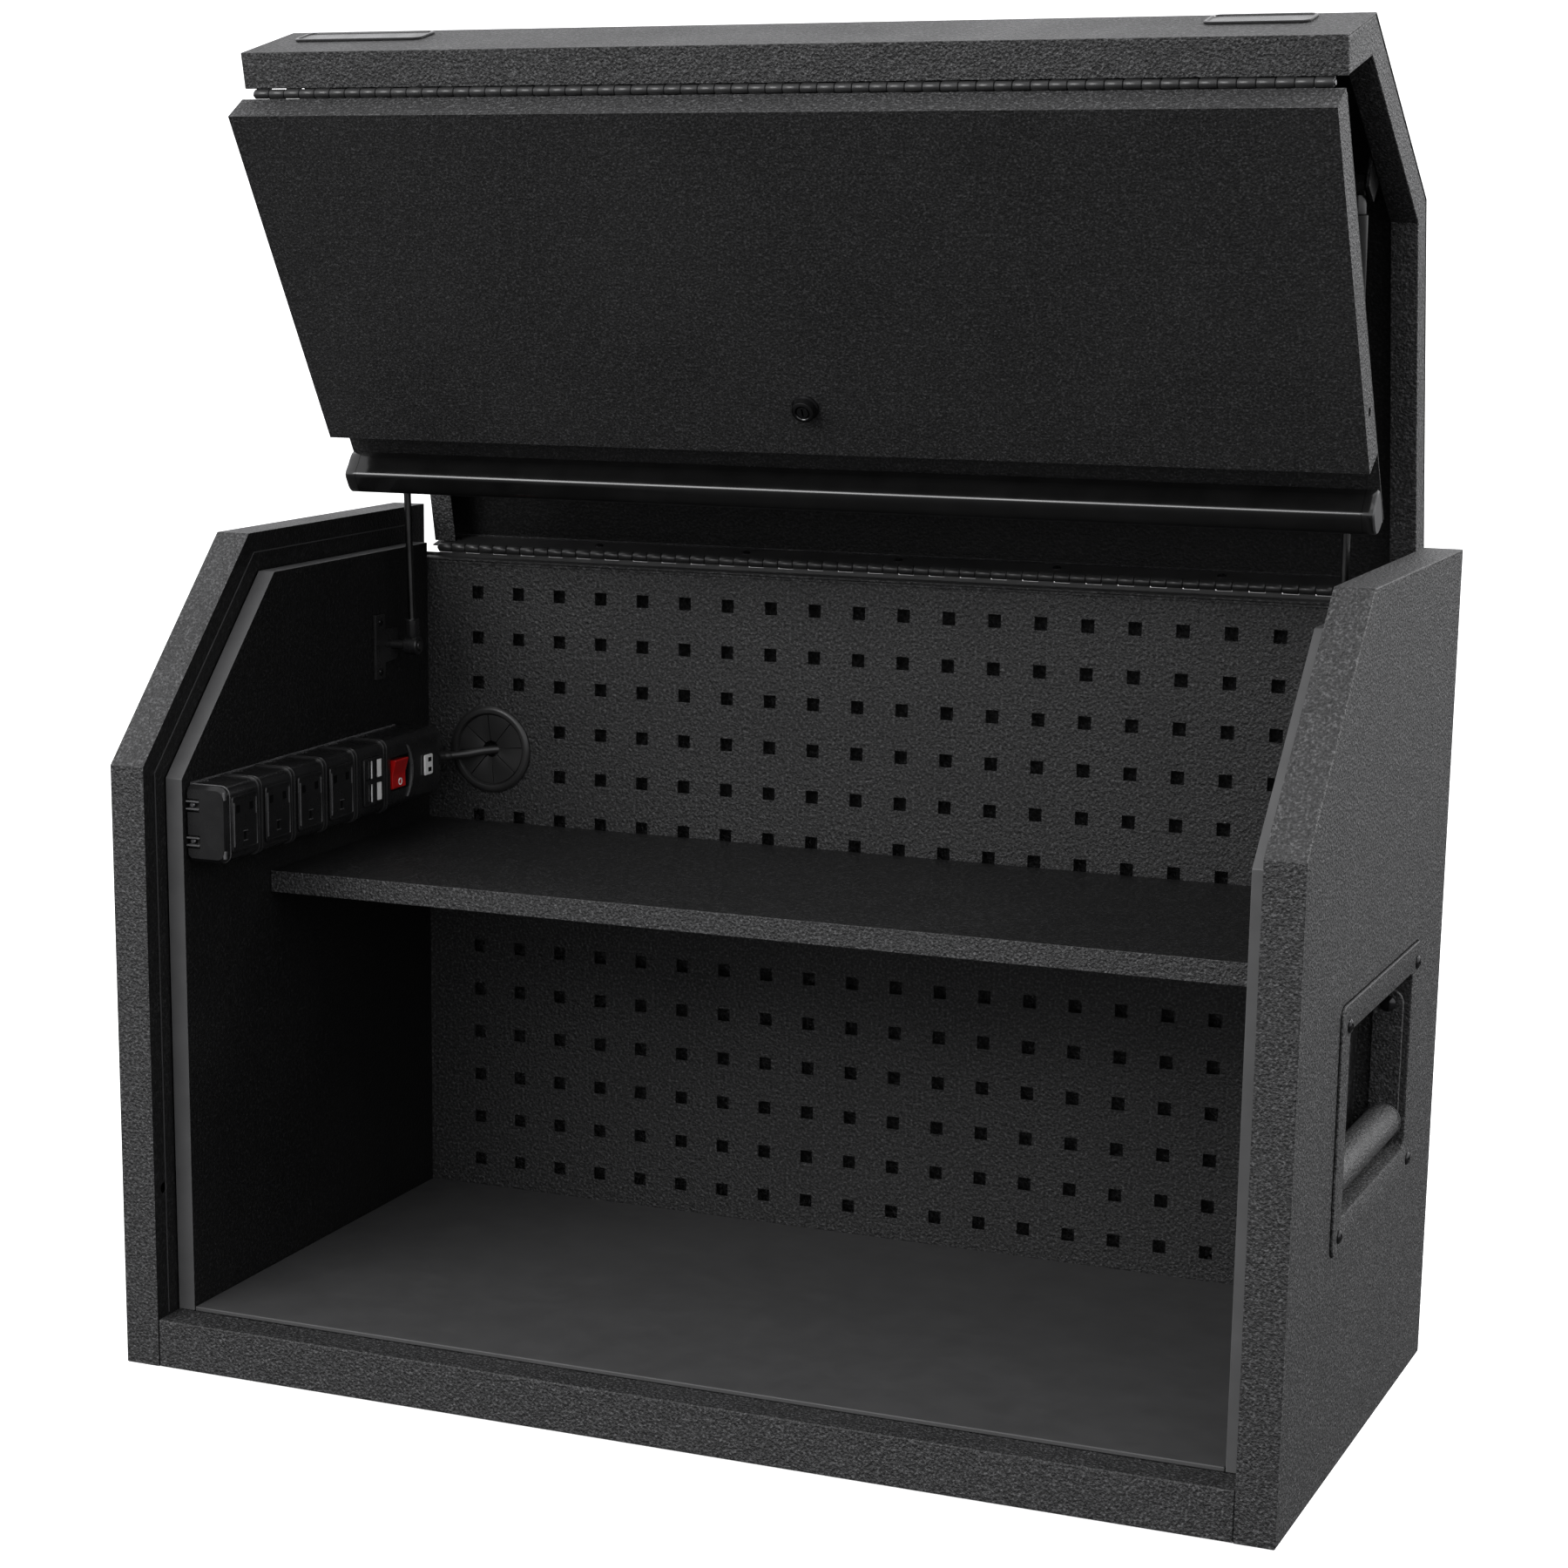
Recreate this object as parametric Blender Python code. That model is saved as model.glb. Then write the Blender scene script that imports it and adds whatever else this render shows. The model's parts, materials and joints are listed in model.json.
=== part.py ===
"""Bench-top tool chest with a folding front: a steel hutch, a cranked lid on a rear piano hinge,
a drop front hung from the lid by a second piano hinge, a shelf, a pegboard back, a power strip
and two recessed side handles. Metres, +Z up, front face towards -Y, origin at the base centre.
The lid is modelled closed and turned open about its hinge, and the front likewise on the lid."""
import math

import bmesh
import bpy
from mathutils import Vector

# Driving dimensions of the carcass
WIDTH = 0.910
DEPTH = 0.455
HEIGHT = 0.633
FRONT_HEIGHT = 0.472            # vertical front edge of the side walls
SLANT_RUN = 0.162               # depth of the sloping top front
SHEET = 0.0015
GAP = 0.0003
FLANGE = 0.029                  # width of the side walls' front and top faces
RECESS = 0.030                  # the lid and the front close into this depth
BASE_HEIGHT = 0.038
INNER_PANEL = 0.0147            # thickness of the inner side panels
PEG_PLANE = 0.432               # front of the pegboard, from the front face
BACK_TOP = 0.5925

# Lid and front
OPEN_ANGLE = math.radians(77.5)
FOLD_ANGLE = math.radians(108.5)
LEAF_HALF_WIDTH = 0.420
LID_DEPTH = 0.027
LID_FRONT_LOW = 0.390           # lower edge of the lid's front face when closed
REAR_AXIS = (0.454, 0.597)
FRONT_AXIS = (0.0308, 0.3890)
DOOR_TOP = 0.3880
PAN_LOW = 0.098
DOOR_LOW = 0.040
HINGE_HALF = 0.411
LOCK_HEIGHT = 0.141
ROD_DEPTH = 0.0135              # the lock bolts' centre line, from the front face

# Struts: lower ball, upper stud with the lid open, and the half distance between them
STRUT_X = 0.389
STRUT_LOW = (0.3626, 0.5241)
STRUT_HIGH = (0.3414, 0.8996)
STUD_RADIUS = 0.0040
STUD_TIP = 0.3815               # distance of the studs' inner ends from the middle
ROD_RADIUS = 0.0030
TUBE_RADIUS = 0.0075
EYE_RADIUS = 0.0080
NECK_RADIUS = 0.0055

# Shelf and power strip
SHELF_FRONT = 0.159
SHELF_TOP = 0.367
SHELF_THICK = 0.0176
STRIP = ((-0.4107, 0.033, 0.396), (-0.375, 0.388, 0.455))

# Pegboard: a square grid with one cable grommet
PEG_PITCH = 0.03824
PEG_HOLE = 0.0105
PEG_TOP_ROW = 0.5623
PEG_COLUMNS = 20
PEG_ROWS = (0, 1, 2, 3, 4, 5, 8, 9, 10, 11, 12, 13)
GROMMET = (-0.351, 0.4295)
GROMMET_RADIUS = 0.037
IRIS_RADIUS = 0.014
BACK_HOLE = (-0.311, 0.4285)
BACK_HOLE_RADIUS = 0.0165

# Mains cord
CORD_RADIUS = 0.0036
COIL_CENTRE = (-0.205, 0.516)
COIL_RADII = (0.0290, 0.0506)
COIL_HEIGHT = 0.0144
PLUG_AT = (-0.088, 0.500)

ROUND = 24
SMALL_ROUND = 12

COLOURS = {
    "powder_black": ((0.018, 0.018, 0.019), 0.55, 0.0),
    "gloss_black": ((0.010, 0.010, 0.010), 0.18, 0.0),
    "hinge_black": ((0.022, 0.022, 0.023), 0.35, 0.5),
    "dark_plastic": ((0.015, 0.015, 0.016), 0.30, 0.0),
    "zinc_steel": ((0.30, 0.30, 0.31), 0.30, 1.0),
    "rubber_grey": ((0.050, 0.050, 0.052), 0.70, 0.0),
    "rubber_black": ((0.020, 0.020, 0.020), 0.60, 0.0),
    "red_lens": ((0.55, 0.01, 0.01), 0.25, 0.0),
    "white_plastic": ((0.75, 0.75, 0.74), 0.35, 0.0),
}


def clear_scene():
    for thing in list(bpy.data.objects):
        bpy.data.objects.remove(thing, do_unlink=True)


def material(slot):
    found = bpy.data.materials.get(slot)
    if found:
        return found
    colour, roughness, metallic = COLOURS[slot]
    made = bpy.data.materials.new(slot)
    made.use_nodes = True
    shader = made.node_tree.nodes["Principled BSDF"]
    shader.inputs["Base Color"].default_value = (*colour, 1.0)
    shader.inputs["Roughness"].default_value = roughness
    shader.inputs["Metallic"].default_value = metallic
    return made


def make_frames():
    """Empties that carry the moving bodies. A frame's pivot is in closed-chest coordinates."""
    frames = {"root": (None, (0.0, 0.0, 0.0))}
    lid = bpy.data.objects.new("lid_frame", None)
    lid.location = (0.0, REAR_AXIS[0] - DEPTH / 2, REAR_AXIS[1])
    lid.rotation_euler = (-OPEN_ANGLE, 0.0, 0.0)
    door = bpy.data.objects.new("door_frame", None)
    door.location = (0.0, FRONT_AXIS[0] - REAR_AXIS[0], FRONT_AXIS[1] - REAR_AXIS[1])
    door.rotation_euler = (FOLD_ANGLE, 0.0, 0.0)
    door.parent = lid
    for empty in (lid, door):
        bpy.context.scene.collection.objects.link(empty)
    frames["lid"] = (lid, (0.0, REAR_AXIS[0], REAR_AXIS[1]))
    frames["door"] = (door, (0.0, FRONT_AXIS[0], FRONT_AXIS[1]))
    tilt = math.atan2(STRUT_LOW[0] - STRUT_HIGH[0], STRUT_HIGH[1] - STRUT_LOW[1])
    for side, sign in (("left", -1), ("right", 1)):
        strut = bpy.data.objects.new(side + "_strut_frame", None)
        strut.location = (sign * STRUT_X, STRUT_LOW[0] - DEPTH / 2, STRUT_LOW[1])
        strut.rotation_euler = (tilt, 0.0, 0.0)
        bpy.context.scene.collection.objects.link(strut)
        frames[side + "_strut"] = (strut, (0.0, 0.0, 0.0))
    return frames


def add_object(name, mesh_data, slot, frame):
    """Moves the mesh so that its frame's pivot is its origin. Depths count from the front face."""
    empty, pivot = FRAMES[frame]
    shift = Vector((0.0, -DEPTH / 2, 0.0)) if empty is None else -Vector(pivot)
    bmesh.ops.translate(mesh_data, verts=mesh_data.verts, vec=shift)
    bmesh.ops.recalc_face_normals(mesh_data, faces=mesh_data.faces)
    mesh = bpy.data.meshes.new(name)
    mesh_data.to_mesh(mesh)
    mesh_data.free()
    thing = bpy.data.objects.new(name, mesh)
    thing.parent = empty
    mesh.materials.append(material(slot))
    bpy.context.scene.collection.objects.link(thing)
    return thing


def extruded(outline, low, high, axis="x"):
    """A prism of an outline. The outline is (y, z) along x, (x, z) along y and (x, y) along z."""
    order = {
        "x": lambda a, b, t: (t, a, b),
        "y": lambda a, b, t: (a, t, b),
        "z": lambda a, b, t: (a, b, t),
    }
    work = bmesh.new()
    face = work.faces.new([work.verts.new(order[axis](a, b, low)) for a, b in outline])
    grown = bmesh.ops.extrude_face_region(work, geom=[face])
    step = {"x": (high - low, 0, 0), "y": (0, high - low, 0), "z": (0, 0, high - low)}[axis]
    moved = [part for part in grown["geom"] if isinstance(part, bmesh.types.BMVert)]
    bmesh.ops.translate(work, verts=moved, vec=step)
    return work


def prism(name, outline, low, high, slot, frame="root", axis="x"):
    return add_object(name, extruded(outline, low, high, axis), slot, frame)


def rectangle(a0, b0, a1, b1):
    return [(a0, b0), (a1, b0), (a1, b1), (a0, b1)]


def block(name, low, high, slot, frame="root"):
    outline = rectangle(low[1], low[2], high[1], high[2])
    return prism(name, outline, low[0], high[0], slot, frame)


def circle(centre, radius, count=ROUND):
    turn = 2 * math.pi / count
    return [
        (centre[0] + radius * math.cos(turn * (i + 0.5)), centre[1] + radius * math.sin(turn * (i + 0.5)))
        for i in range(count)
    ]


def as_tool(thing):
    thing.hide_render = True
    thing.display_type = "WIRE"
    return thing


def combine(target, tool, operation):
    step = target.modifiers.new(operation.lower(), "BOOLEAN")
    step.operation = operation
    step.solver = "EXACT"
    step.object = as_tool(tool)
    return target


def cut(target, tool):
    return combine(target, tool, "DIFFERENCE")


def join(target, tool):
    return combine(target, tool, "UNION")


def merged(pieces):
    """One mesh from several separate shapes that don't touch, for use as one tool."""
    work = bmesh.new()
    for piece in pieces:
        scratch = bpy.data.meshes.new("scratch")
        piece.to_mesh(scratch)
        piece.free()
        work.from_mesh(scratch)
        bpy.data.meshes.remove(scratch)
    return work


def side_outline(inset, rear, low):
    """The side walls' profile, its front, slope and top moved in by inset."""
    slope = math.atan2(HEIGHT - FRONT_HEIGHT, SLANT_RUN)
    front_drop = inset * math.tan(slope / 2)
    top_step = inset * math.tan(slope / 2)
    return [
        (inset, low),
        (inset, FRONT_HEIGHT - front_drop),
        (SLANT_RUN + top_step, HEIGHT - inset),
        (rear, HEIGHT - inset),
        (rear, low),
    ]


# Carcass

POCKET_OPENING = (0.142, 0.193, 0.347, 0.331)      # low y, low z, high y, high z
PLATE_EDGE = (0.120, 0.171, 0.372, 0.350)


def side_walls():
    inner = WIDTH / 2 - FLANGE
    for side, sign in (("left", -1), ("right", 1)):
        name = side + "_side_wall"
        outer_x = sign * WIDTH / 2
        inner_x = sign * inner
        wall = prism(name, side_outline(0.0, DEPTH, 0.0), inner_x, outer_x, "powder_black")
        skin_x = outer_x - sign * SHEET
        hollow = side_outline(SHEET, DEPTH - SHEET, SHEET)
        cut(wall, prism(name + "_hollow", hollow, inner_x + sign * SHEET, skin_x, "powder_black"))
        mouth = side_outline(RECESS, DEPTH - 0.022, BASE_HEIGHT)
        web = (inner_x - sign * SHEET, inner_x + sign * 2 * SHEET)
        cut(wall, prism(name + "_mouth", mouth, *web, "powder_black"))
        hole = rectangle(*POCKET_OPENING)
        cut(wall, prism(name + "_opening", hole, skin_x - sign * SHEET, outer_x + sign * SHEET, "powder_black"))
        bolt = circle((ROD_DEPTH, LOCK_HEIGHT), 0.0045, SMALL_ROUND)
        cut(wall, prism(name + "_bolt_hole", bolt, *web, "powder_black"))


def inner_panels():
    face = WIDTH / 2 - FLANGE - GAP
    for side, sign in (("left", -1), ("right", 1)):
        name = side + "_inner_panel"
        outline = side_outline(RECESS + GAP, PEG_PLANE - GAP, BASE_HEIGHT + GAP)
        panel = prism(name, outline, sign * (face - INNER_PANEL), sign * face, "powder_black")
        hollow = side_outline(RECESS + GAP + SHEET, PEG_PLANE - GAP - SHEET, BASE_HEIGHT + GAP + SHEET)
        web = (sign * (face - INNER_PANEL + SHEET), sign * (face + SHEET))
        cut(panel, prism(name + "_hollow", hollow, *web, "powder_black"))


def base_and_back():
    face = WIDTH / 2 - FLANGE - GAP
    rear = DEPTH - SHEET - GAP
    tray = prism("base_tray", rectangle(0.0, 0.0, rear, BASE_HEIGHT), -face, face, "powder_black")
    tunnel = rectangle(SHEET, SHEET, rear - SHEET, BASE_HEIGHT - SHEET)
    cut(tray, prism("base_tunnel", tunnel, -WIDTH, WIDTH, "powder_black"))
    sheet = rectangle(-face, 0.0, face, BACK_TOP)
    back = prism("back_panel", sheet, DEPTH - SHEET, DEPTH, "powder_black", axis="y")
    hole = circle(BACK_HOLE, BACK_HOLE_RADIUS)
    cut(back, prism("back_panel_hole", hole, DEPTH - 2 * SHEET, DEPTH + SHEET, "powder_black", axis="y"))
    rim = circle(BACK_HOLE, BACK_HOLE_RADIUS + 0.005)
    ring = prism("rear_cable_grommet", rim, DEPTH + GAP, DEPTH + 0.0025, "rubber_black", axis="y")
    bore = circle(BACK_HOLE, BACK_HOLE_RADIUS - 0.001)
    cut(ring, prism("rear_grommet_bore", bore, DEPTH - SHEET, DEPTH + 0.005, "rubber_black", axis="y"))


def floor_and_shelf():
    inside = WIDTH / 2 - FLANGE - INNER_PANEL - 2 * GAP
    rear = PEG_PLANE - GAP
    block("floor_mat", (-inside, RECESS, BASE_HEIGHT + GAP), (inside, rear, BASE_HEIGHT + 0.004), "rubber_grey")
    low = SHELF_TOP - SHELF_THICK
    shelf = block("shelf", (-inside, SHELF_FRONT, low), (inside, rear, SHELF_TOP), "powder_black")
    under_low = (-inside + SHEET, SHELF_FRONT + SHEET, low - SHEET)
    under_high = (inside - SHEET, rear - SHEET, SHELF_TOP - SHEET)
    cut(shelf, block("shelf_hollow", under_low, under_high, "powder_black"))


def peg_lines(centres, low, high):
    """Edges of a strip cut by square holes at the centres."""
    lines = [low]
    for centre in centres:
        lines += [centre - PEG_HOLE / 2, centre + PEG_HOLE / 2]
    return lines + [high]


def pegboard():
    """A sheet of square cells with the hole cells left out."""
    half = WIDTH / 2 - FLANGE - GAP
    columns = [(i - (PEG_COLUMNS - 1) / 2) * PEG_PITCH for i in range(PEG_COLUMNS)]
    rows = sorted(PEG_TOP_ROW - row * PEG_PITCH for row in PEG_ROWS)
    xs = peg_lines(columns, -half, half)
    zs = peg_lines(rows, BASE_HEIGHT + GAP, BACK_TOP - 0.002)
    grommet_rows = [PEG_TOP_ROW - row * PEG_PITCH for row in (3, 4)]
    work = bmesh.new()
    grid = [[work.verts.new((x, PEG_PLANE, z)) for z in zs] for x in xs]
    for i in range(len(xs) - 1):
        for j in range(len(zs) - 1):
            middle = ((xs[i] + xs[i + 1]) / 2, (zs[j] + zs[j + 1]) / 2)
            in_row = min(abs(middle[1] - z) for z in grommet_rows) < 0.001
            by_grommet = in_row and middle[0] < columns[1] + PEG_HOLE
            if i % 2 == 1 and j % 2 == 1 and not by_grommet:
                continue
            work.faces.new((grid[i][j], grid[i + 1][j], grid[i + 1][j + 1], grid[i][j + 1]))
    grown = bmesh.ops.extrude_face_region(work, geom=work.faces[:])
    moved = [part for part in grown["geom"] if isinstance(part, bmesh.types.BMVert)]
    bmesh.ops.translate(work, verts=moved, vec=(0, SHEET, 0))
    sheet = add_object("pegboard", work, "powder_black", "root")
    hole = circle(GROMMET, GROMMET_RADIUS - 0.006)
    through = (PEG_PLANE - SHEET, PEG_PLANE + 2 * SHEET)
    cut(sheet, prism("pegboard_grommet_hole", hole, *through, "powder_black", axis="y"))
    rim = circle(GROMMET, GROMMET_RADIUS)
    flange = prism("cable_grommet", rim, PEG_PLANE - 0.0045, PEG_PLANE - GAP, "rubber_black", axis="y")
    dish = circle(GROMMET, GROMMET_RADIUS - 0.0075)
    cut(flange, prism("grommet_dish", dish, PEG_PLANE - 0.010, PEG_PLANE - 0.0015, "rubber_black", axis="y"))
    iris = circle(GROMMET, IRIS_RADIUS)
    cut(flange, prism("grommet_iris", iris, PEG_PLANE - 0.010, PEG_PLANE + 0.010, "rubber_black", axis="y"))


# Hinges

def piano_hinge(stem, axis, frames, radius, leaf, tab):
    """Two leaves with alternating knuckles on one pin. leaf and tab are ((low, high) in z, (low, high)
    in y) from the axis for the upper leaf, and the lower leaf's are the same turned over."""
    knuckles = 11
    pitch = 2 * HINGE_HALF / knuckles
    bore = radius * 0.60
    for which, name in enumerate((stem + "_upper_leaf", stem + "_lower_leaf")):
        sense = 1 if which == 0 else -1

        def section(band, sense=sense):
            (z0, z1), (y0, y1) = band
            return rectangle(axis[0] + y0, axis[1] + sense * z0, axis[0] + y1, axis[1] + sense * z1)

        plate = prism(name, section(leaf), -HINGE_HALF, HINGE_HALF, "hinge_black", frames[which])
        tabs = []
        rings = []
        for i in range(which, knuckles, 2):
            start = -HINGE_HALF + i * pitch + GAP
            end = start + pitch - 2 * GAP
            tabs.append(extruded(section(tab), start, end))
            rings.append(extruded(circle(axis, radius, SMALL_ROUND), start, end))
        join(plate, add_object(name + "_tabs", merged(tabs), "hinge_black", frames[which]))
        join(plate, add_object(name + "_rings", merged(rings), "hinge_black", frames[which]))
        drilled = circle(axis, bore, SMALL_ROUND)
        cut(plate, prism(name + "_bore", drilled, -WIDTH, WIDTH, "hinge_black", frames[which]))
    pin = circle(axis, bore * 0.85, SMALL_ROUND)
    prism(stem + "_pin", pin, -HINGE_HALF - 0.001, HINGE_HALF + 0.001, "zinc_steel", frames[1])


# Lid

def lid_path(inset, rear, low):
    """The lid's profile from its rear edge to its front edge, moved in by inset."""
    points = side_outline(inset, rear, low)
    return [points[3], points[2], points[1], points[0]]


def lid_parts():
    rear_low = REAR_AXIS[1] + 0.005
    outer = [(DEPTH, rear_low)] + lid_path(0.0, DEPTH, LID_FRONT_LOW) + [(LID_DEPTH, LID_FRONT_LOW)]
    inner = lid_path(SHEET, DEPTH - SHEET, LID_FRONT_LOW + SHEET) + [(LID_DEPTH, LID_FRONT_LOW + SHEET)]
    inner = inner[::-1] + [(DEPTH - SHEET, rear_low)]
    prism("lid_skin", outer + inner, -LEAF_HALF_WIDTH, LEAF_HALF_WIDTH, "powder_black", "lid")
    lip = 0.020
    rear = DEPTH - 0.0035
    low = LID_FRONT_LOW + 0.004
    for side, sign in (("left", -1), ("right", 1)):
        name = "lid_" + side + "_cheek"
        band = lid_path(SHEET + GAP, rear, low) + lid_path(LID_DEPTH, rear, low)[::-1]
        outer_x = LEAF_HALF_WIDTH - GAP
        cheek = prism(name, band, sign * (outer_x - lip), sign * outer_x, "powder_black", "lid")
        hollow = lid_path(0.001, DEPTH, low - 0.001) + lid_path(LID_DEPTH - SHEET, DEPTH, low - 0.001)[::-1]
        web = (sign * (outer_x - lip - SHEET), sign * (outer_x - SHEET))
        cut(cheek, prism(name + "_hollow", hollow, *web, "powder_black", "lid"))
    for name, low_x, high_x, low_z, high_z in (
        ("left_badge_plate", -0.398, -0.288, 0.431, 0.461),
        ("right_badge_plate", 0.309, 0.384, 0.434, 0.464),
    ):
        block(name, (low_x, -0.0023, low_z), (high_x, -GAP, high_z), "gloss_black", "lid")


def closed_place(point):
    """Where a point of the open lid is when the lid is closed."""
    y = point[0] - REAR_AXIS[0]
    z = point[1] - REAR_AXIS[1]
    turn_cos = math.cos(OPEN_ANGLE)
    turn_sin = math.sin(OPEN_ANGLE)
    return (REAR_AXIS[0] + turn_cos * y - turn_sin * z, REAR_AXIS[1] + turn_sin * y + turn_cos * z)


def strut_mounts():
    stud = closed_place(STRUT_HIGH)
    slope = math.atan2(HEIGHT - FRONT_HEIGHT, SLANT_RUN)
    along = (math.cos(slope), math.sin(slope))
    inward = (along[1], -along[0])
    corners = [(-0.018, -0.024), (0.018, -0.024), (0.010, 0.008), (-0.010, 0.008)]
    ear = [
        (stud[0] + a * along[0] + b * inward[0], stud[1] + a * along[1] + b * inward[1])
        for a, b in corners
    ]
    inside = WIDTH / 2 - FLANGE - INNER_PANEL - 2 * GAP
    plate = rectangle(STRUT_LOW[0] - 0.030, STRUT_LOW[1] - 0.027, STRUT_LOW[0] + 0.010, STRUT_LOW[1] + 0.027)
    for side, sign in (("left", -1), ("right", 1)):
        name = side + "_strut_upper_bracket"
        bracket = prism(name, ear, sign * 0.3965, sign * 0.3992, "hinge_black", "lid")
        pin = circle(stud, STUD_RADIUS, SMALL_ROUND)
        join(bracket, prism(name + "_stud", pin, sign * STUD_TIP, sign * 0.3982, "zinc_steel", "lid"))
        name = side + "_strut_lower_bracket"
        bracket = prism(name, plate, sign * (inside - 0.0025), sign * inside, "hinge_black")
        pin = circle(STRUT_LOW, STUD_RADIUS, SMALL_ROUND)
        join(bracket, prism(name + "_stud", pin, sign * STUD_TIP, sign * (inside - 0.001), "zinc_steel"))


def struts():
    length = math.dist(STRUT_LOW, STRUT_HIGH)
    rod_top = length * 0.46
    tube_low = length * 0.43
    middle = (0.0, 0.0)
    for side, sign in (("left", -1), ("right", 1)):
        frame = side + "_strut"
        shaft = {"frame": frame, "axis": "z"}
        name = side + "_strut_rod"
        rod = prism(name, circle(middle, ROD_RADIUS, SMALL_ROUND), 0.006, rod_top, "zinc_steel", **shaft)
        socket = circle(middle, EYE_RADIUS, SMALL_ROUND)
        join(rod, prism(name + "_socket", socket, -0.006, 0.006, "dark_plastic", frame))
        neck = circle(middle, NECK_RADIUS, SMALL_ROUND)
        join(rod, prism(name + "_neck", neck, 0.004, 0.018, "dark_plastic", **shaft))
        bore = circle(middle, STUD_RADIUS + 0.0006, SMALL_ROUND)
        cut(rod, prism(name + "_bore", bore, -0.020, 0.020, "dark_plastic", frame))
        name = side + "_strut_tube"
        shell = circle(middle, TUBE_RADIUS, SMALL_ROUND)
        tube = prism(name, shell, tube_low, length - 0.012, "gloss_black", **shaft)
        eye = circle((0.0, length), EYE_RADIUS, SMALL_ROUND)
        join(tube, prism(name + "_eye", eye, -0.006, 0.006, "dark_plastic", frame))
        join(tube, prism(name + "_neck", neck, length - 0.018, length - 0.004, "dark_plastic", **shaft))
        eye_bore = circle((0.0, length), STUD_RADIUS + 0.0016, SMALL_ROUND)
        cut(tube, prism(name + "_pin_bore", eye_bore, -0.020, 0.020, "dark_plastic", frame))
        rod_bore = circle(middle, ROD_RADIUS + 0.0006, SMALL_ROUND)
        cut(tube, prism(name + "_rod_bore", rod_bore, 0.0, length - 0.022, "dark_plastic", **shaft))


# Front

def front_panel():
    side = LEAF_HALF_WIDTH
    rear = LID_DEPTH - SHEET - GAP
    pan = block("door_pan", (-side, 0.0, PAN_LOW), (side, rear, DOOR_TOP), "powder_black", "door")
    hollow = ((-side + SHEET, SHEET, PAN_LOW + SHEET), (side - SHEET, rear + SHEET, DOOR_TOP - SHEET))
    cut(pan, block("door_pan_hollow", *hollow, "powder_black", "door"))
    barrel = circle((0.0, LOCK_HEIGHT), 0.0080)
    cut(pan, prism("door_lock_hole", barrel, -SHEET, 2 * SHEET, "powder_black", "door", axis="y"))
    bolts = circle((ROD_DEPTH, LOCK_HEIGHT), 0.0036, SMALL_ROUND)
    cut(pan, prism("door_bolt_holes", bolts, -WIDTH, WIDTH, "powder_black", "door"))
    sheet_low = (-side, LID_DEPTH - SHEET, DOOR_LOW)
    block("door_back_sheet", sheet_low, (side, LID_DEPTH, DOOR_TOP - 0.0040), "powder_black", "door")
    front = [(0.0252, 0.0405), (0.0220, 0.0392), (0.0100, 0.0392), (0.0045, 0.0420), (0.0025, 0.0480)]
    upper = [(0.0025, 0.0555), (0.0050, 0.0610), (0.0100, 0.0645), (0.0180, 0.0665), (0.0252, 0.0670)]
    rail = front + upper
    end = side - 0.0095
    bar = prism("handle_rail", rail, -end + GAP, end - GAP, "gloss_black", "door")
    bore = circle((0.0145, 0.0520), 0.0085)
    cut(bar, prism("handle_rail_bore", bore, -side, side, "gloss_black", "door"))
    for name, sign in (("handle_left_cap", -1), ("handle_right_cap", 1)):
        prism(name, rail, sign * end, sign * (side - GAP), "gloss_black", "door")


def lock_and_bolts():
    centre = (0.0, LOCK_HEIGHT)
    collar = prism("lock_housing", circle(centre, 0.0105), -0.0032, -GAP, "zinc_steel", "door", axis="y")
    join(collar, prism("lock_barrel", circle(centre, 0.0076), -0.001, 0.0175, "zinc_steel", "door", axis="y"))
    cut(collar, prism("lock_bore", circle(centre, 0.0046), -0.010, 0.030, "zinc_steel", "door", axis="y"))
    plug = prism("lock_plug", circle(centre, 0.0042), -0.0036, 0.0215, "zinc_steel", "door", axis="y")
    keyway = rectangle(-0.0008, LOCK_HEIGHT - 0.003, 0.0008, LOCK_HEIGHT + 0.003)
    cut(plug, prism("lock_keyway", keyway, -0.010, 0.001, "zinc_steel", "door", axis="y"))
    cam = rectangle(-0.0050, LOCK_HEIGHT - 0.014, 0.0050, LOCK_HEIGHT + 0.014)
    join(plug, prism("lock_cam", cam, 0.0185, 0.0210, "zinc_steel", "door", axis="y"))
    bolt = circle((ROD_DEPTH, LOCK_HEIGHT), 0.0030, SMALL_ROUND)
    for name, sign in (("left_lock_bolt", -1), ("right_lock_bolt", 1)):
        prism(name, bolt, sign * 0.0090, sign * 0.4165, "zinc_steel", "door")


# Power strip

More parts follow.
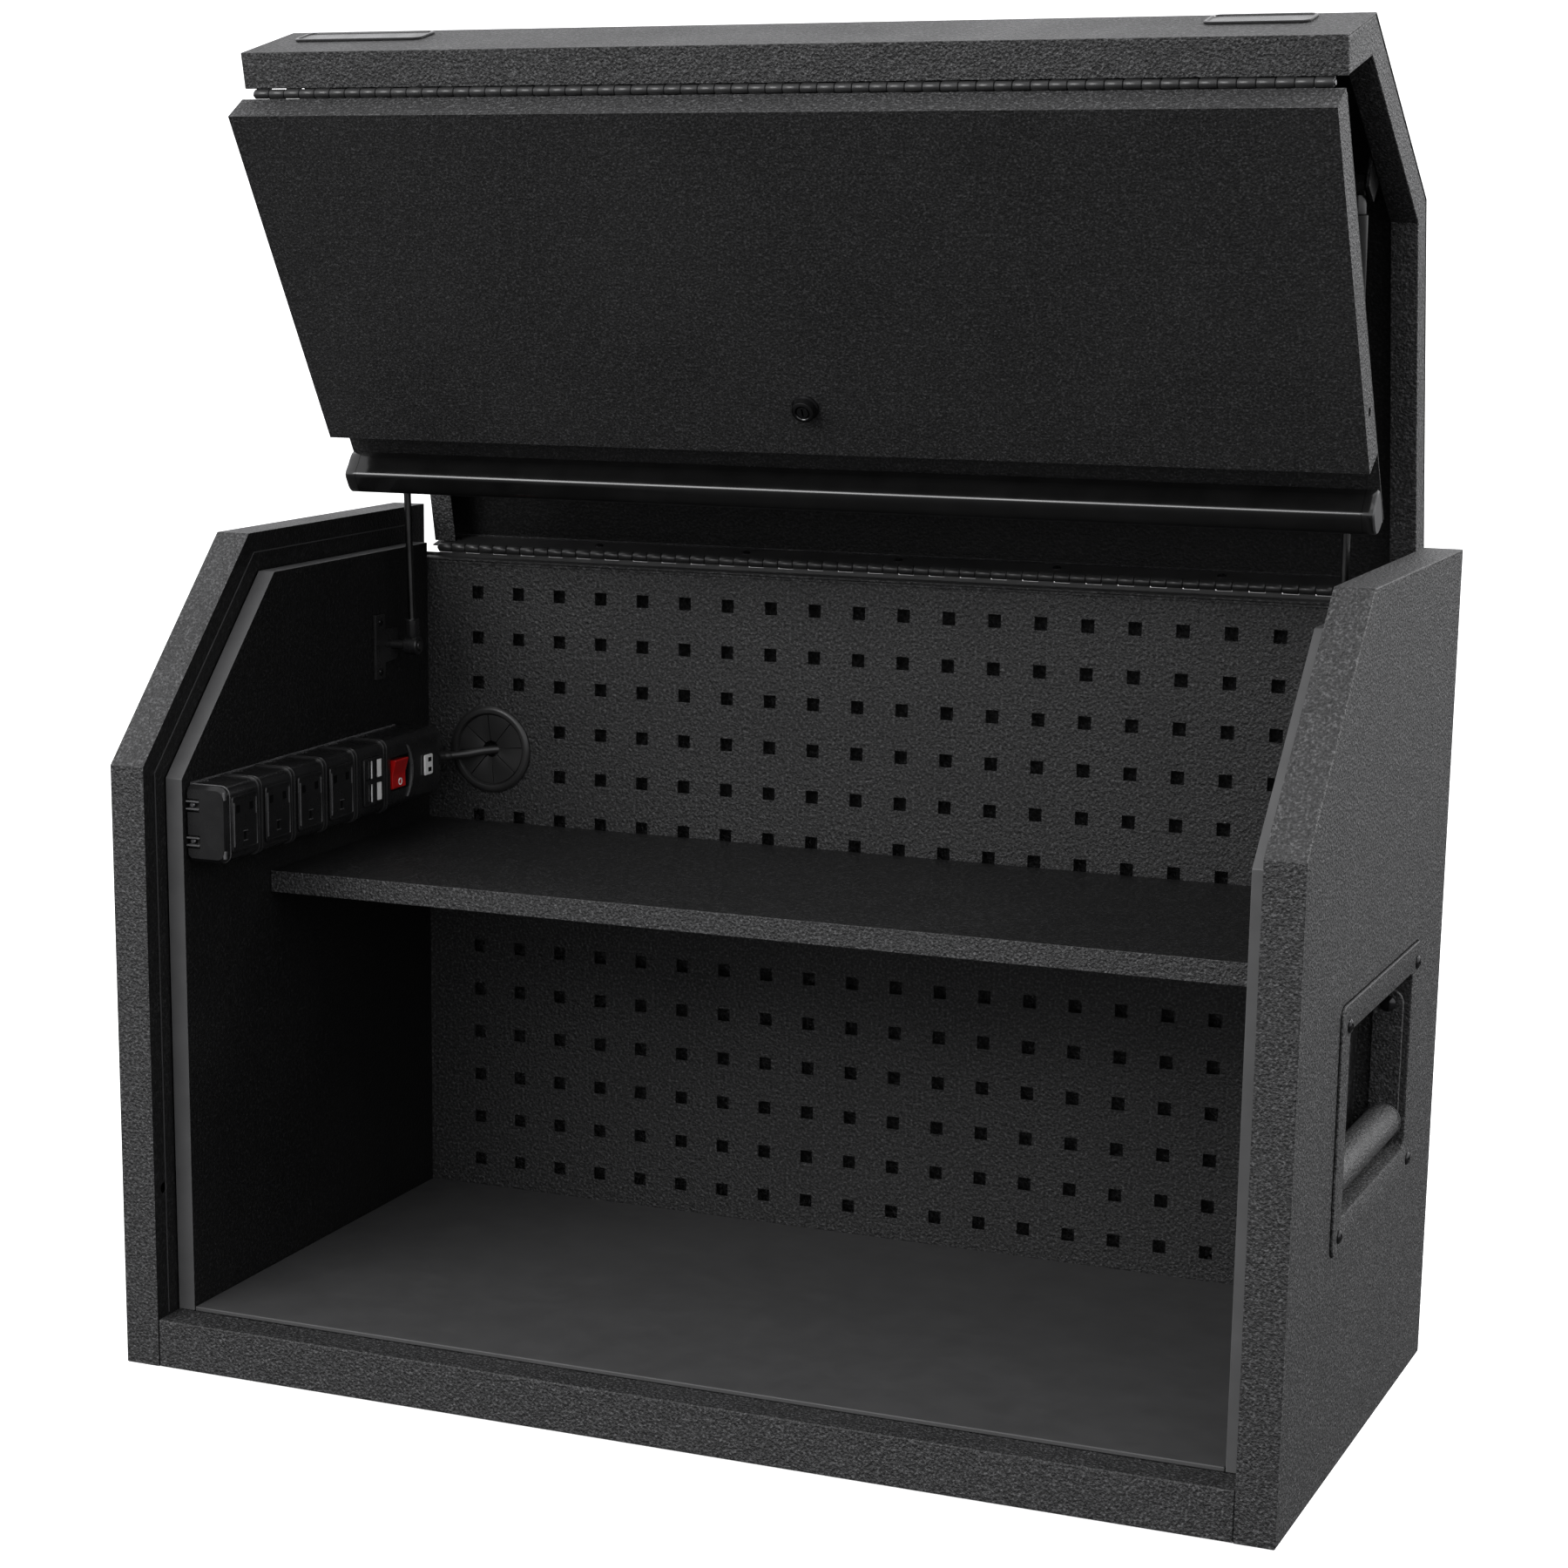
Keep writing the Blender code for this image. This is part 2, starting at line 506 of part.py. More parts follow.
def power_strip():
    low, high = STRIP
    chamfer = 0.006
    outline = [
        (low[0], low[2]),
        (high[0] - chamfer, low[2]),
        (high[0], low[2] + chamfer),
        (high[0], high[2] - chamfer),
        (high[0] - chamfer, high[2]),
        (low[0], high[2]),
    ]
    body = prism("power_strip_body", outline, low[1], high[1], "dark_plastic", axis="y")
    face = high[0]
    middle = (low[2] + high[2]) / 2
    pocket = ((face - 0.009, 0.2960, middle - 0.0140), (face + 0.002, 0.3275, middle + 0.0140))
    cut(body, block("rocker_pocket", *pocket, "dark_plastic"))
    for i in range(4):
        centre = 0.0595 + 0.0503 * i
        name = f"socket_{i + 1}"
        plate_low = (face + GAP, centre - 0.0195, middle - 0.0225)
        plate = block(name, plate_low, (face + 0.0020, centre + 0.0195, middle + 0.0225), "dark_plastic")
        holes = [rectangle(centre - 0.0022, middle - 0.014, centre + 0.0022, middle - 0.006)]
        for side in (-1, 1):
            pin = centre + side * 0.0110
            holes.append(rectangle(pin - 0.0032, middle + 0.008, pin + 0.0032, middle + 0.012))
        slots = [extruded(hole, face - 0.002, face + 0.004) for hole in holes]
        cut(plate, add_object(name + "_slots", merged(slots), "dark_plastic", "root"))
    usb_low = (face + GAP, 0.247, middle - 0.0225)
    usb = block("usb_block", usb_low, (face + 0.0020, 0.280, middle + 0.0225), "white_plastic")
    ports = [
        extruded(rectangle(y - 0.0025, z - 0.0065, y + 0.0025, z + 0.0065), face - 0.002, face + 0.004)
        for y in (0.2560, 0.2715)
        for z in (middle - 0.011, middle + 0.011)
    ]
    cut(usb, add_object("usb_ports", merged(ports), "dark_plastic", "root"))
    lamp_low = (face + GAP, 0.3530, middle - 0.0090)
    block("surge_indicator", lamp_low, (face + 0.0016, 0.3700, middle + 0.0090), "white_plastic")
    rocker = [
        (face - 0.0065, middle - 0.0110),
        (face + 0.0008, middle - 0.0125),
        (face + 0.0005, middle),
        (face + 0.0040, middle + 0.0120),
        (face - 0.0065, middle + 0.0110),
    ]
    prism("rocker_switch", rocker, 0.2970, 0.3265, "red_lens", axis="y")
    centre = (-0.393, 0.425)
    ring = circle(centre, 0.0080, SMALL_ROUND)
    gland = prism("cord_gland", ring, high[1] + GAP, high[1] + 0.004, "rubber_black", axis="y")
    bore = circle(centre, 0.0050, SMALL_ROUND)
    cut(gland, prism("cord_gland_bore", bore, high[1] - 0.01, high[1] + 0.02, "rubber_black", axis="y"))


# Side handles

BAIL_AXIS = (0.4410, 0.3060)        # distance from the middle, height
GRIP_CENTRE = (0.4410, 0.2155)


def side_handles():
    for side, sign in (("left", -1), ("right", 1)):
        name = side + "_handle_pocket"
        y0, z0, y1, z1 = PLATE_EDGE
        outer = sign * (WIDTH / 2 + GAP)
        face = sign * (WIDTH / 2 + 0.0020)
        plate = prism(name, rectangle(y0, z0, y1, z1), outer, face, "powder_black")
        oy0, oz0, oy1, oz1 = POCKET_OPENING
        tub_floor = sign * (WIDTH / 2 - 0.0395)
        tub = rectangle(oy0 + GAP, oz0 + GAP, oy1 - GAP, oz1 - GAP)
        join(plate, prism(name + "_tub", tub, tub_floor, sign * (WIDTH / 2 + 0.001), "powder_black"))
        hollow = rectangle(oy0 + GAP + SHEET, oz0 + GAP + SHEET, oy1 - GAP - SHEET, oz1 - GAP - SHEET)
        web = (tub_floor + sign * SHEET, sign * (WIDTH / 2 + 0.005))
        cut(plate, prism(name + "_hollow", hollow, *web, "powder_black"))
        bail_y0 = oy0 + 0.0040
        bail_y1 = oy1 - 0.0040
        name = side + "_bail"
        arm = [
            (BAIL_AXIS[0] - 0.006, BAIL_AXIS[1] + 0.007),
            (BAIL_AXIS[0] + 0.006, BAIL_AXIS[1] + 0.007),
            (GRIP_CENTRE[0] + 0.010, GRIP_CENTRE[1] - 0.008),
            (GRIP_CENTRE[0] - 0.010, GRIP_CENTRE[1] - 0.008),
        ]
        arm = [(sign * x, z) for x, z in arm]
        bail = prism(name, arm, bail_y0, bail_y0 + 0.004, "powder_black", axis="y")
        join(bail, prism(name + "_far_arm", arm, bail_y1 - 0.004, bail_y1, "powder_black", axis="y"))
        grip = circle((sign * GRIP_CENTRE[0], GRIP_CENTRE[1]), 0.0140, ROUND)
        join(bail, prism(name + "_grip", grip, bail_y0 + 0.003, bail_y1 - 0.003, "rubber_black", axis="y"))
        centre = (sign * BAIL_AXIS[0], BAIL_AXIS[1])
        holes = circle(centre, 0.0034, SMALL_ROUND)
        cut(bail, prism(name + "_pin_holes", holes, oy0, oy1, "powder_black", axis="y"))
        studs = [
            extruded(circle(centre, 0.0030, SMALL_ROUND), oy0 + 0.0010, bail_y0 + 0.0055, "y"),
            extruded(circle(centre, 0.0030, SMALL_ROUND), bail_y1 - 0.0055, oy1 - 0.0010, "y"),
        ]
        join(plate, add_object(side + "_bail_studs", merged(studs), "zinc_steel", "root"))


# Mains cord

def smooth_route(points, spacing):
    """A Catmull-Rom curve through the points, read off at even steps."""
    padded = [points[0]] + points + [points[-1]]
    dense = []
    for i in range(1, len(padded) - 2):
        before, start, end, after = (Vector(padded[i + k]) for k in (-1, 0, 1, 2))
        for step in range(24):
            t = step / 24
            bend = (2 * before - 5 * start + 4 * end - after) * t * t
            twist = (3 * start - before - 3 * end + after) * t * t * t
            dense.append(0.5 * (2 * start + (end - before) * t + bend + twist))
    dense.append(Vector(points[-1]))
    total = sum((b - a).length for a, b in zip(dense, dense[1:]))
    count = max(2, round(total / spacing))
    wanted = [total * i / count for i in range(count + 1)]
    even = [dense[0]]
    run = 0.0
    k = 1
    for a, b in zip(dense, dense[1:]):
        length = (b - a).length
        while k < count and run + length >= wanted[k]:
            even.append(a.lerp(b, (wanted[k] - run) / length))
            k += 1
        run += length
    even.append(dense[-1])
    return even


def cord_tube(name, points, slot="rubber_black"):
    data = bpy.data.curves.new(name, "CURVE")
    data.dimensions = "3D"
    data.bevel_depth = CORD_RADIUS
    data.bevel_resolution = 2
    data.use_fill_caps = True
    line = data.splines.new("POLY")
    line.points.add(len(points) - 1)
    for spot, point in zip(line.points, points):
        spot.co = (point[0], point[1] - DEPTH / 2, point[2], 1.0)
    data.materials.append(material(slot))
    thing = bpy.data.objects.new(name, data)
    bpy.context.scene.collection.objects.link(thing)


CORD_ROUTE = [
    (-0.3930, 0.3887, 0.4250), (-0.3925, 0.3980, 0.4246), (-0.3860, 0.4110, 0.4238), (-0.3720, 0.4220, 0.4250),
    (-0.3550, 0.4308, 0.4280), (-0.3380, 0.4395, 0.4295), (-0.3210, 0.4485, 0.4290), (-0.3050, 0.4575, 0.4255),
    (-0.2930, 0.4645, 0.4150), (-0.2860, 0.4680, 0.3990), (-0.2840, 0.4690, 0.3780), (-0.2840, 0.4690, 0.3200),
    (-0.2840, 0.4690, 0.2500), (-0.2840, 0.4690, 0.1800), (-0.2840, 0.4690, 0.1150), (-0.2838, 0.4690, 0.0600),
    (-0.2790, 0.4690, 0.0330), (-0.2680, 0.4690, 0.0150), (-0.2520, 0.4690, 0.0052), (-0.2325, 0.4690, 0.0039),
]
CORD_TAIL = [
    (-0.1665, 0.4780, 0.0111), (-0.1540, 0.4830, 0.0111), (-0.1430, 0.4890, 0.0112), (-0.1320, 0.4950, 0.0114),
    (-0.1230, 0.4992, 0.0115), (-0.1142, 0.5000, 0.0115),
]


def cord_and_plug():
    cord_tube("cord_run", smooth_route(CORD_ROUTE, 0.017))
    cord_tube("cord_tail", smooth_route(CORD_TAIL, 0.011))
    inner, outer = COIL_RADII
    coil = prism("cord_coil", circle(COIL_CENTRE, outer, 32), GAP, GAP + COIL_HEIGHT, "rubber_black", axis="z")
    cut(coil, prism("cord_coil_eye", circle(COIL_CENTRE, inner, 32), -0.01, 0.05, "rubber_black", axis="z"))
    x, y = PLUG_AT
    outline = [
        (x - 0.0250, y - 0.0090), (x - 0.0150, y - 0.0240), (x + 0.0240, y - 0.0240),
        (x + 0.0240, y + 0.0240), (x - 0.0150, y + 0.0240), (x - 0.0250, y + 0.0090),
    ]
    plug = prism("mains_plug", outline, GAP, 0.0220, "rubber_black", axis="z")
    pins = [
        extruded(rectangle(x - 0.0120, y - 0.0020, x - 0.0040, y + 0.0020), 0.0200, 0.0440, "z"),
        extruded(rectangle(x + 0.0080, y - 0.0142, x + 0.0120, y - 0.0079), 0.0200, 0.0390, "z"),
        extruded(rectangle(x + 0.0080, y + 0.0079, x + 0.0120, y + 0.0142), 0.0200, 0.0390, "z"),
    ]
    join(plug, add_object("plug_pins", merged(pins), "zinc_steel", "root"))


clear_scene()
FRAMES = make_frames()
side_walls()
inner_panels()
base_and_back()
floor_and_shelf()
pegboard()
piano_hinge("rear_hinge", REAR_AXIS, ("lid", "root"), 0.0040, ((0.0047, 0.0250), (-0.0021, -0.0009)),
            ((0.0029, 0.0052), (-0.0020, -0.0010)))
piano_hinge("front_hinge", FRONT_AXIS, ("lid", "door"), 0.0035, ((0.0028, 0.0038), (-0.0208, -0.0040)),
            ((0.0029, 0.0034), (-0.0045, -0.0008)))
lid_parts()
strut_mounts()
struts()
front_panel()
lock_and_bolts()
power_strip()
side_handles()
cord_and_plug()
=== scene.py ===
"""The looks of a bench-top tool chest with a folding front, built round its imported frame. Metres, +Z up.
Pieces are drawn as on the closed chest, with depths counted from the front face, then put in place."""
import json
import math

import bmesh
import bpy
from mathutils import Matrix, Vector

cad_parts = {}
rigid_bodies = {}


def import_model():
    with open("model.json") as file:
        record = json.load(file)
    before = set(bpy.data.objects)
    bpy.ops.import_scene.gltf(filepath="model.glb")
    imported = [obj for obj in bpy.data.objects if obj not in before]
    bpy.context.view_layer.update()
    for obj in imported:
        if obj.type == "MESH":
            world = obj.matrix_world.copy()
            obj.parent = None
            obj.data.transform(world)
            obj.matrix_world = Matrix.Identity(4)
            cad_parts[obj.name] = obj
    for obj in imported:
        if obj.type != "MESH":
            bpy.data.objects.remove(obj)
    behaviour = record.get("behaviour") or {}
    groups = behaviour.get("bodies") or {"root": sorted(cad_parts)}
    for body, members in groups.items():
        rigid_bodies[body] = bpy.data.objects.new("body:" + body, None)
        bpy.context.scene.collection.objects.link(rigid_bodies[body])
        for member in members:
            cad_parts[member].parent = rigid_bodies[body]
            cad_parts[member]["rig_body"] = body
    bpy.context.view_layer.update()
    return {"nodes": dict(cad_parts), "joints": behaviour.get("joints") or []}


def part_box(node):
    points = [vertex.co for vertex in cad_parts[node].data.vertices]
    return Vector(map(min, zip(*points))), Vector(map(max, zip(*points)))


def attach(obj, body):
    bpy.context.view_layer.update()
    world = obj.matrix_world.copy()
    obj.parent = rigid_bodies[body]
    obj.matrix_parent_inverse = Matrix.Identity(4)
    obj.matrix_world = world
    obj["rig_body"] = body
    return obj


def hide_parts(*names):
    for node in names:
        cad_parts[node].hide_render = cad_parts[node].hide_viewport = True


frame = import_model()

# Sizes taken from the frame
JOINTS = {joint["name"]: joint for joint in frame["joints"]}
WALL_LOW, WALL_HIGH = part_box("right_side_wall")
HALF_WIDTH = WALL_HIGH.x
HALF_DEPTH = WALL_HIGH.y
HEIGHT = WALL_HIGH.z
WALL_INNER = WALL_LOW.x
PEG_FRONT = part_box("pegboard")[0].y + HALF_DEPTH
LEAF_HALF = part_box("door_pan")[1].x
SHELF_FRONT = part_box("shelf")[0].y
REAR_AXIS = (JOINTS["lid_hinge"]["pos_m"][1] + HALF_DEPTH, JOINTS["lid_hinge"]["pos_m"][2])

# Sizes the frame's boxes can't give
FRONT_AXIS = (0.0308, 0.389)
OPEN_ANGLE = math.radians(77.5)
FOLD_ANGLE = math.radians(108.5)
FRONT_HEIGHT = 0.472
SLANT_RUN = 0.162
SHEET = 0.0015
GAP = 0.0003
HINGE_HALF = 0.411
KNUCKLES = 63
STRUT_X = 0.389
STRUT_LOW = (0.3626, 0.5241)
STRUT_HIGH = (0.3414, 0.8996)
LOCK_HEIGHT = 0.141
GROMMET = (-0.351, 0.4295)
GROMMET_RADIUS = 0.037
CORD_RADIUS = 0.0036
COIL_CENTRE = (-0.205, 0.516)
PLUG_AT = (-0.088, 0.5)
POCKET_OPENING = (0.142, 0.193, 0.347, 0.331)
PLATE_EDGE = (0.12, 0.171, 0.372, 0.35)
PLATE_SCREWS = [(0.358, 0.335), (0.139, 0.334), (0.358, 0.1835), (0.137, 0.183)]
BAIL_AXIS = (0.441, 0.306)
GRIP_CENTRE = (0.441, 0.2155)
STRIP_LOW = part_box("power_strip_body")[0] + Vector((0.0, HALF_DEPTH, 0.0))
STRIP_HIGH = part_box("power_strip_body")[1] + Vector((0.0, HALF_DEPTH, 0.0))
STRIP_MIDDLE = (STRIP_LOW.z + STRIP_HIGH.z) / 2
FACE = STRIP_HIGH.x             # the strip's front, which looks along +X


# Places: where the closed chest's coordinates are with the lid open and the front folded back

def shift(x, y, z):
    return Matrix.Translation((x, y, z))


def make_places():
    lid = shift(0, REAR_AXIS[0] - HALF_DEPTH, REAR_AXIS[1]) @ Matrix.Rotation(-OPEN_ANGLE, 4, "X")
    hung = shift(0, FRONT_AXIS[0] - REAR_AXIS[0], FRONT_AXIS[1] - REAR_AXIS[1])
    door = lid @ hung @ Matrix.Rotation(FOLD_ANGLE, 4, "X")
    tilt = math.atan2(STRUT_LOW[0] - STRUT_HIGH[0], STRUT_HIGH[1] - STRUT_LOW[1])
    places = {
        "world": Matrix.Identity(4),
        "root": shift(0, -HALF_DEPTH, 0),
        "lid": lid @ shift(0, -REAR_AXIS[0], -REAR_AXIS[1]),
        "door": door @ shift(0, -FRONT_AXIS[0], -FRONT_AXIS[1]),
    }
    for side, sign in (("left", -1), ("right", 1)):
        foot = shift(sign * STRUT_X, STRUT_LOW[0] - HALF_DEPTH, STRUT_LOW[1])
        places[side + "_strut"] = foot @ Matrix.Rotation(tilt, 4, "X")
    return places


PLACES = make_places()


# Materials

def new_material(name, colour, roughness, metallic=0.0, coat=0.0):
    made = bpy.data.materials.new(name)
    made.use_nodes = True
    shader = made.node_tree.nodes["Principled BSDF"]
    shader.inputs["Base Color"].default_value = (*colour, 1.0)
    shader.inputs["Roughness"].default_value = roughness
    shader.inputs["Metallic"].default_value = metallic
    shader.inputs["Coat Weight"].default_value = coat
    return made


def texture(tree, kind, scale, detail=2.0):
    """A noise or Voronoi texture on the object's own coordinates, as an output socket."""
    coordinates = tree.nodes.new("ShaderNodeTexCoord")
    node = tree.nodes.new("ShaderNodeTex" + kind)
    node.inputs["Scale"].default_value = scale
    node.inputs["Detail"].default_value = detail
    tree.links.new(coordinates.outputs["Object"], node.inputs["Vector"])
    return node.outputs["Fac"] if kind == "Noise" else node.outputs["Distance"]


def ramp(tree, source, stops):
    node = tree.nodes.new("ShaderNodeValToRGB")
    node.color_ramp.elements[0].position = stops[0][0]
    node.color_ramp.elements[0].color = (*stops[0][1], 1.0)
    node.color_ramp.elements[1].position = stops[-1][0]
    node.color_ramp.elements[1].color = (*stops[-1][1], 1.0)
    for position, colour in stops[1:-1]:
        node.color_ramp.elements.new(position).color = (*colour, 1.0)
    tree.links.new(source, node.inputs["Fac"])
    return node.outputs["Color"]


def spread(tree, source, low, high, start=0.3, end=0.7):
    """Maps a value from start to end onto low to high."""
    node = tree.nodes.new("ShaderNodeMapRange")
    for socket_name, value in (("From Min", start), ("From Max", end), ("To Min", low), ("To Max", high)):
        node.inputs[socket_name].default_value = value
    tree.links.new(source, node.inputs["Value"])
    return node.outputs["Result"]


def bump(tree, source, strength, distance, before=None):
    node = tree.nodes.new("ShaderNodeBump")
    node.inputs["Strength"].default_value = strength
    node.inputs["Distance"].default_value = distance
    tree.links.new(source, node.inputs["Height"])
    if before:
        tree.links.new(before, node.inputs["Normal"])
    return node.outputs["Normal"]


def grey(value):
    """A grey with the faint blue cast of the paint."""
    return (value, value, value * 1.02)


def powder_coat(name, dark, light, strength, rough=(0.46, 0.6), grain=520.0, shine=0.5):
    """Textured powder coat: pebbly grain about 2 mm across with small bright crests."""
    made = new_material(name, grey(dark), rough[0])
    tree = made.node_tree
    shader = tree.nodes["Principled BSDF"]
    shader.inputs["Specular IOR Level"].default_value = shine
    speckle = texture(tree, "Noise", grain, 2.0)
    stops = [(0.38, grey(dark * 0.45)), (0.49, grey(dark)), (0.58, grey(light)), (0.68, grey(light * 2.4))]
    tree.links.new(ramp(tree, speckle, stops), shader.inputs["Base Color"])
    patches = texture(tree, "Noise", 9.0)
    tree.links.new(spread(tree, patches, *rough), shader.inputs["Roughness"])
    pebbles = bump(tree, texture(tree, "Voronoi", grain * 0.9), strength, 0.0007)
    final = bump(tree, texture(tree, "Noise", grain * 0.85, 2.0), strength * 0.8, 0.0007, pebbles)
    tree.links.new(final, shader.inputs["Normal"])
    return made


def plain_finish(name, colour, rough, metallic=0.0, coat=0.0, grain=900.0, strength=0.08, tint=0.25):
    """A smooth finish with faint grain, slight tone changes and uneven polish."""
    made = new_material(name, colour, rough[0], metallic, coat)
    tree = made.node_tree
    shader = tree.nodes["Principled BSDF"]
    low = tuple(part * (1 - tint) for part in colour)
    high = tuple(part * (1 + tint) for part in colour)
    cloud = texture(tree, "Noise", 35.0, 4.0)
    tree.links.new(ramp(tree, cloud, [(0.3, low), (0.7, high)]), shader.inputs["Base Color"])
    tree.links.new(spread(tree, texture(tree, "Noise", 80.0, 4.0), *rough), shader.inputs["Roughness"])
    tree.links.new(bump(tree, texture(tree, "Noise", grain), strength, 0.0002), shader.inputs["Normal"])
    return made


POWDER = powder_coat("powder_coat_outer", 0.019, 0.034, 1.0, grain=480.0)
# A darker copy of the powder coat for the pegboard, the back folds and the handle tubs: painted shade inside
# the chest and the pockets.
POWDER_INSIDE_SHADE = powder_coat("powder_coat_inner", 0.011, 0.0215, 0.75, (0.5, 0.64), 440.0, 0.35)
# A much darker copy of the powder coat: painted shade on inward-facing walls, the inner panels, the lid's
# underside and the upper strut brackets.
POWDER_PAINTED_SHADE = powder_coat("powder_coat_shade", 0.0036, 0.0062, 0.45, (0.5, 0.62), 440.0, 0.28)
# A darker copy of the powder coat for the shelf, whose front edge keeps the outer coat: painted shade on the
# shelf.
POWDER_SHELF_SHADE = powder_coat("powder_coat_shelf", 0.0062, 0.0105, 0.6, (0.5, 0.62), 440.0, 0.35)
# A darker copy of the powder coat for the folded-back front, whose sides keep the outer coat: painted shade
# on the front's face and back sheet.
POWDER_FRONT_SHADE = powder_coat("powder_coat_front", 0.0125, 0.0185, 0.45, (0.5, 0.6), 560.0)
RIM = plain_finish("smooth_rim", (0.04, 0.04, 0.041), (0.4, 0.5), 0.0, 0.0, 500.0, 0.12, 0.12)
# A much lighter copy for the inner panels' front- and up-facing faces: painted light.
PANEL_EDGE_LIT = plain_finish("panel_edge", (0.08, 0.08, 0.081), (0.42, 0.52), 0.0, 0.0, 500.0, 0.12, 0.12)
MAT = plain_finish("mat_rubber", (0.052, 0.052, 0.0525), (0.5, 0.6), 0.0, 0.0, 700.0, 0.12, 0.08)
GLOSS = plain_finish("gloss_paint", (0.006, 0.006, 0.006), (0.14, 0.2), coat=0.3, strength=0.03)
SATIN = plain_finish("satin_hinge", (0.022, 0.022, 0.0222), (0.28, 0.36), strength=0.1)
PLASTIC = plain_finish("strip_plastic", (0.0085, 0.0085, 0.0088), (0.22, 0.3), strength=0.05)
PLASTIC_DARK = plain_finish("strip_dark", (0.001, 0.001, 0.001), (0.75, 0.85), strength=0.06)
PLASTIC_DARK.node_tree.nodes["Principled BSDF"].inputs["Specular IOR Level"].default_value = 0.1
# A lighter copy of the strip plastic for the ribs: painted highlight.
PLASTIC_RIB_HIGHLIGHT = plain_finish("strip_ribs", (0.02, 0.02, 0.0205), (0.2, 0.26), strength=0.04)
BRACKET = plain_finish("bracket_steel", (0.02, 0.02, 0.0202), (0.24, 0.32), metallic=0.3, strength=0.06)
# A much lighter copy of the strip plastic for its edges, lugs, rims, marks, edge bars and crest: painted
# highlight.
PLASTIC_EDGE_HIGHLIGHT = plain_finish("strip_edges", (0.085, 0.085, 0.087), (0.22, 0.3), strength=0.04)
RUBBER = plain_finish("cord_rubber", (0.016, 0.016, 0.016), (0.3, 0.4), strength=0.1)
SCREW = plain_finish("black_screw", (0.04, 0.04, 0.041), (0.12, 0.18), metallic=0.9, strength=0.04)
STEEL = plain_finish("zinc_steel", (0.23, 0.23, 0.235), (0.26, 0.36), metallic=1.0, strength=0.1)
ROD = plain_finish("rod_steel", (0.1, 0.1, 0.1), (0.18, 0.26), metallic=1.0, strength=0.03)
RED = plain_finish("red_lens", (0.42, 0.004, 0.004), (0.1, 0.16), coat=0.4, strength=0.02)
WHITE = plain_finish("white_plastic", (0.8, 0.8, 0.79), (0.3, 0.38), strength=0.04, tint=0.03)


# Mesh tools

def finish_piece(name, work, material, body="root", place=None, bevel=0.0, replaces=(),
                 smooth=38.0):
    """Makes an object of a bmesh drawn in a place's coordinates, and puts it on its body.
    The place is the body's own where it has one, or else the root's, unless another is named."""
    bmesh.ops.recalc_face_normals(work, faces=work.faces)
    mesh = bpy.data.meshes.new(name)
    work.to_mesh(mesh)
    work.free()
    mesh.shade_smooth()
    mesh.set_sharp_from_angle(angle=math.radians(smooth))
    mesh.materials.append(material)
    piece = bpy.data.objects.new(name, mesh)
    bpy.context.scene.collection.objects.link(piece)
    piece.matrix_world = PLACES[place or (body if body in PLACES else "root")]
    if bevel:
        edge = piece.modifiers.new("edge", "BEVEL")
        edge.width = bevel
        edge.segments = 3
        edge.limit_method = "ANGLE"
        edge.angle_limit = math.radians(28.0)
        edge.harden_normals = True
    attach(piece, body)
    if replaces:
        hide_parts(*replaces)
    return piece


def skin(work, loops, cap_start=True, cap_end=True, closed=False):
    """Quads between successive loops of the same number of points, and a face at each end."""
    rows = [[work.verts.new(point) for point in loop] for loop in loops]
    pairs = list(zip(rows, rows[1:]))
    if closed:
        pairs.append((rows[-1], rows[0]))
    for first, second in pairs:
        for i in range(len(first)):
            k = (i + 1) % len(first)
            work.faces.new((first[i], first[k], second[k], second[i]))
    if cap_start and not closed:
        work.faces.new(rows[0])
    if cap_end and not closed:
        work.faces.new(rows[-1])


def to_axis(a, b, t, axis):
    return {"x": (t, a, b), "y": (a, t, b), "z": (a, b, t)}[axis]


def prism(work, outline, low, high, axis="x"):
    skin(work, [[to_axis(a, b, t, axis) for a, b in outline] for t in (low, high)])


def box(work, low, high):
    outline = [(low[1], low[2]), (high[1], low[2]), (high[1], high[2]), (low[1], high[2])]
    prism(work, outline, low[0], high[0])


def circle(centre, radius, count=32):
    turn = 2 * math.pi / count
    angles = [turn * i for i in range(count)]
    return [(centre[0] + radius * math.cos(angle), centre[1] + radius * math.sin(angle)) for angle in angles]


def turned(work, centre, profile, axis, count=32, closed=False):
    """A turned shape: profile is (distance along the axis, radius) from one end to the other.
    A closed profile goes round the wall of a ring and leaves its middle open."""
    loops = [[to_axis(a, b, t, axis) for a, b in circle(centre, radius, count)] for t, radius in profile]
    skin(work, loops, closed=closed)


def rounded(low, high, radius, steps=5):
    """A rectangle with round corners, from its low and high corners."""
    points = []
    corners = ((high[0], high[1]), (low[0], high[1]), (low[0], low[1]), (high[0], low[1]))
    for quarter, (a, b) in enumerate(corners):
        middle_a = a - radius if a == high[0] else a + radius
        middle_b = b - radius if b == high[1] else b + radius
        for i in range(steps + 1):
            angle = math.pi / 2 * (quarter + i / steps)
            points.append((middle_a + radius * math.cos(angle), middle_b + radius * math.sin(angle)))
    return points


def curve_span(before, start, end, after, steps):
    """Points from start up to just before end on a Catmull-Rom curve."""
    span = []
    for step in range(steps):
        t = step / steps
        bend = (2 * before - 5 * start + 4 * end - after) * t * t
        twist = (3 * start - before - 3 * end + after) * t * t * t
        span.append(0.5 * (2 * start + (end - before) * t + bend + twist))
    return span


def smooth_loop(points, steps=6):
    """A closed Catmull-Rom outline through the points."""
    count = len(points)
    outline = []
    for i in range(count):
        nearby = (Vector(points[(i + k) % count]) for k in (-1, 0, 1, 2))
        outline += [tuple(point) for point in curve_span(*nearby, steps)]
    return outline


def smooth_line(points, steps=8):
    """An open Catmull-Rom line through the points."""
    padded = [Vector(point) for point in (points[0], *points, points[-1])]
    line = []
    for i in range(1, len(padded) - 2):
        line += curve_span(*padded[i - 1:i + 3], steps)
    line.append(padded[-1])
    return line


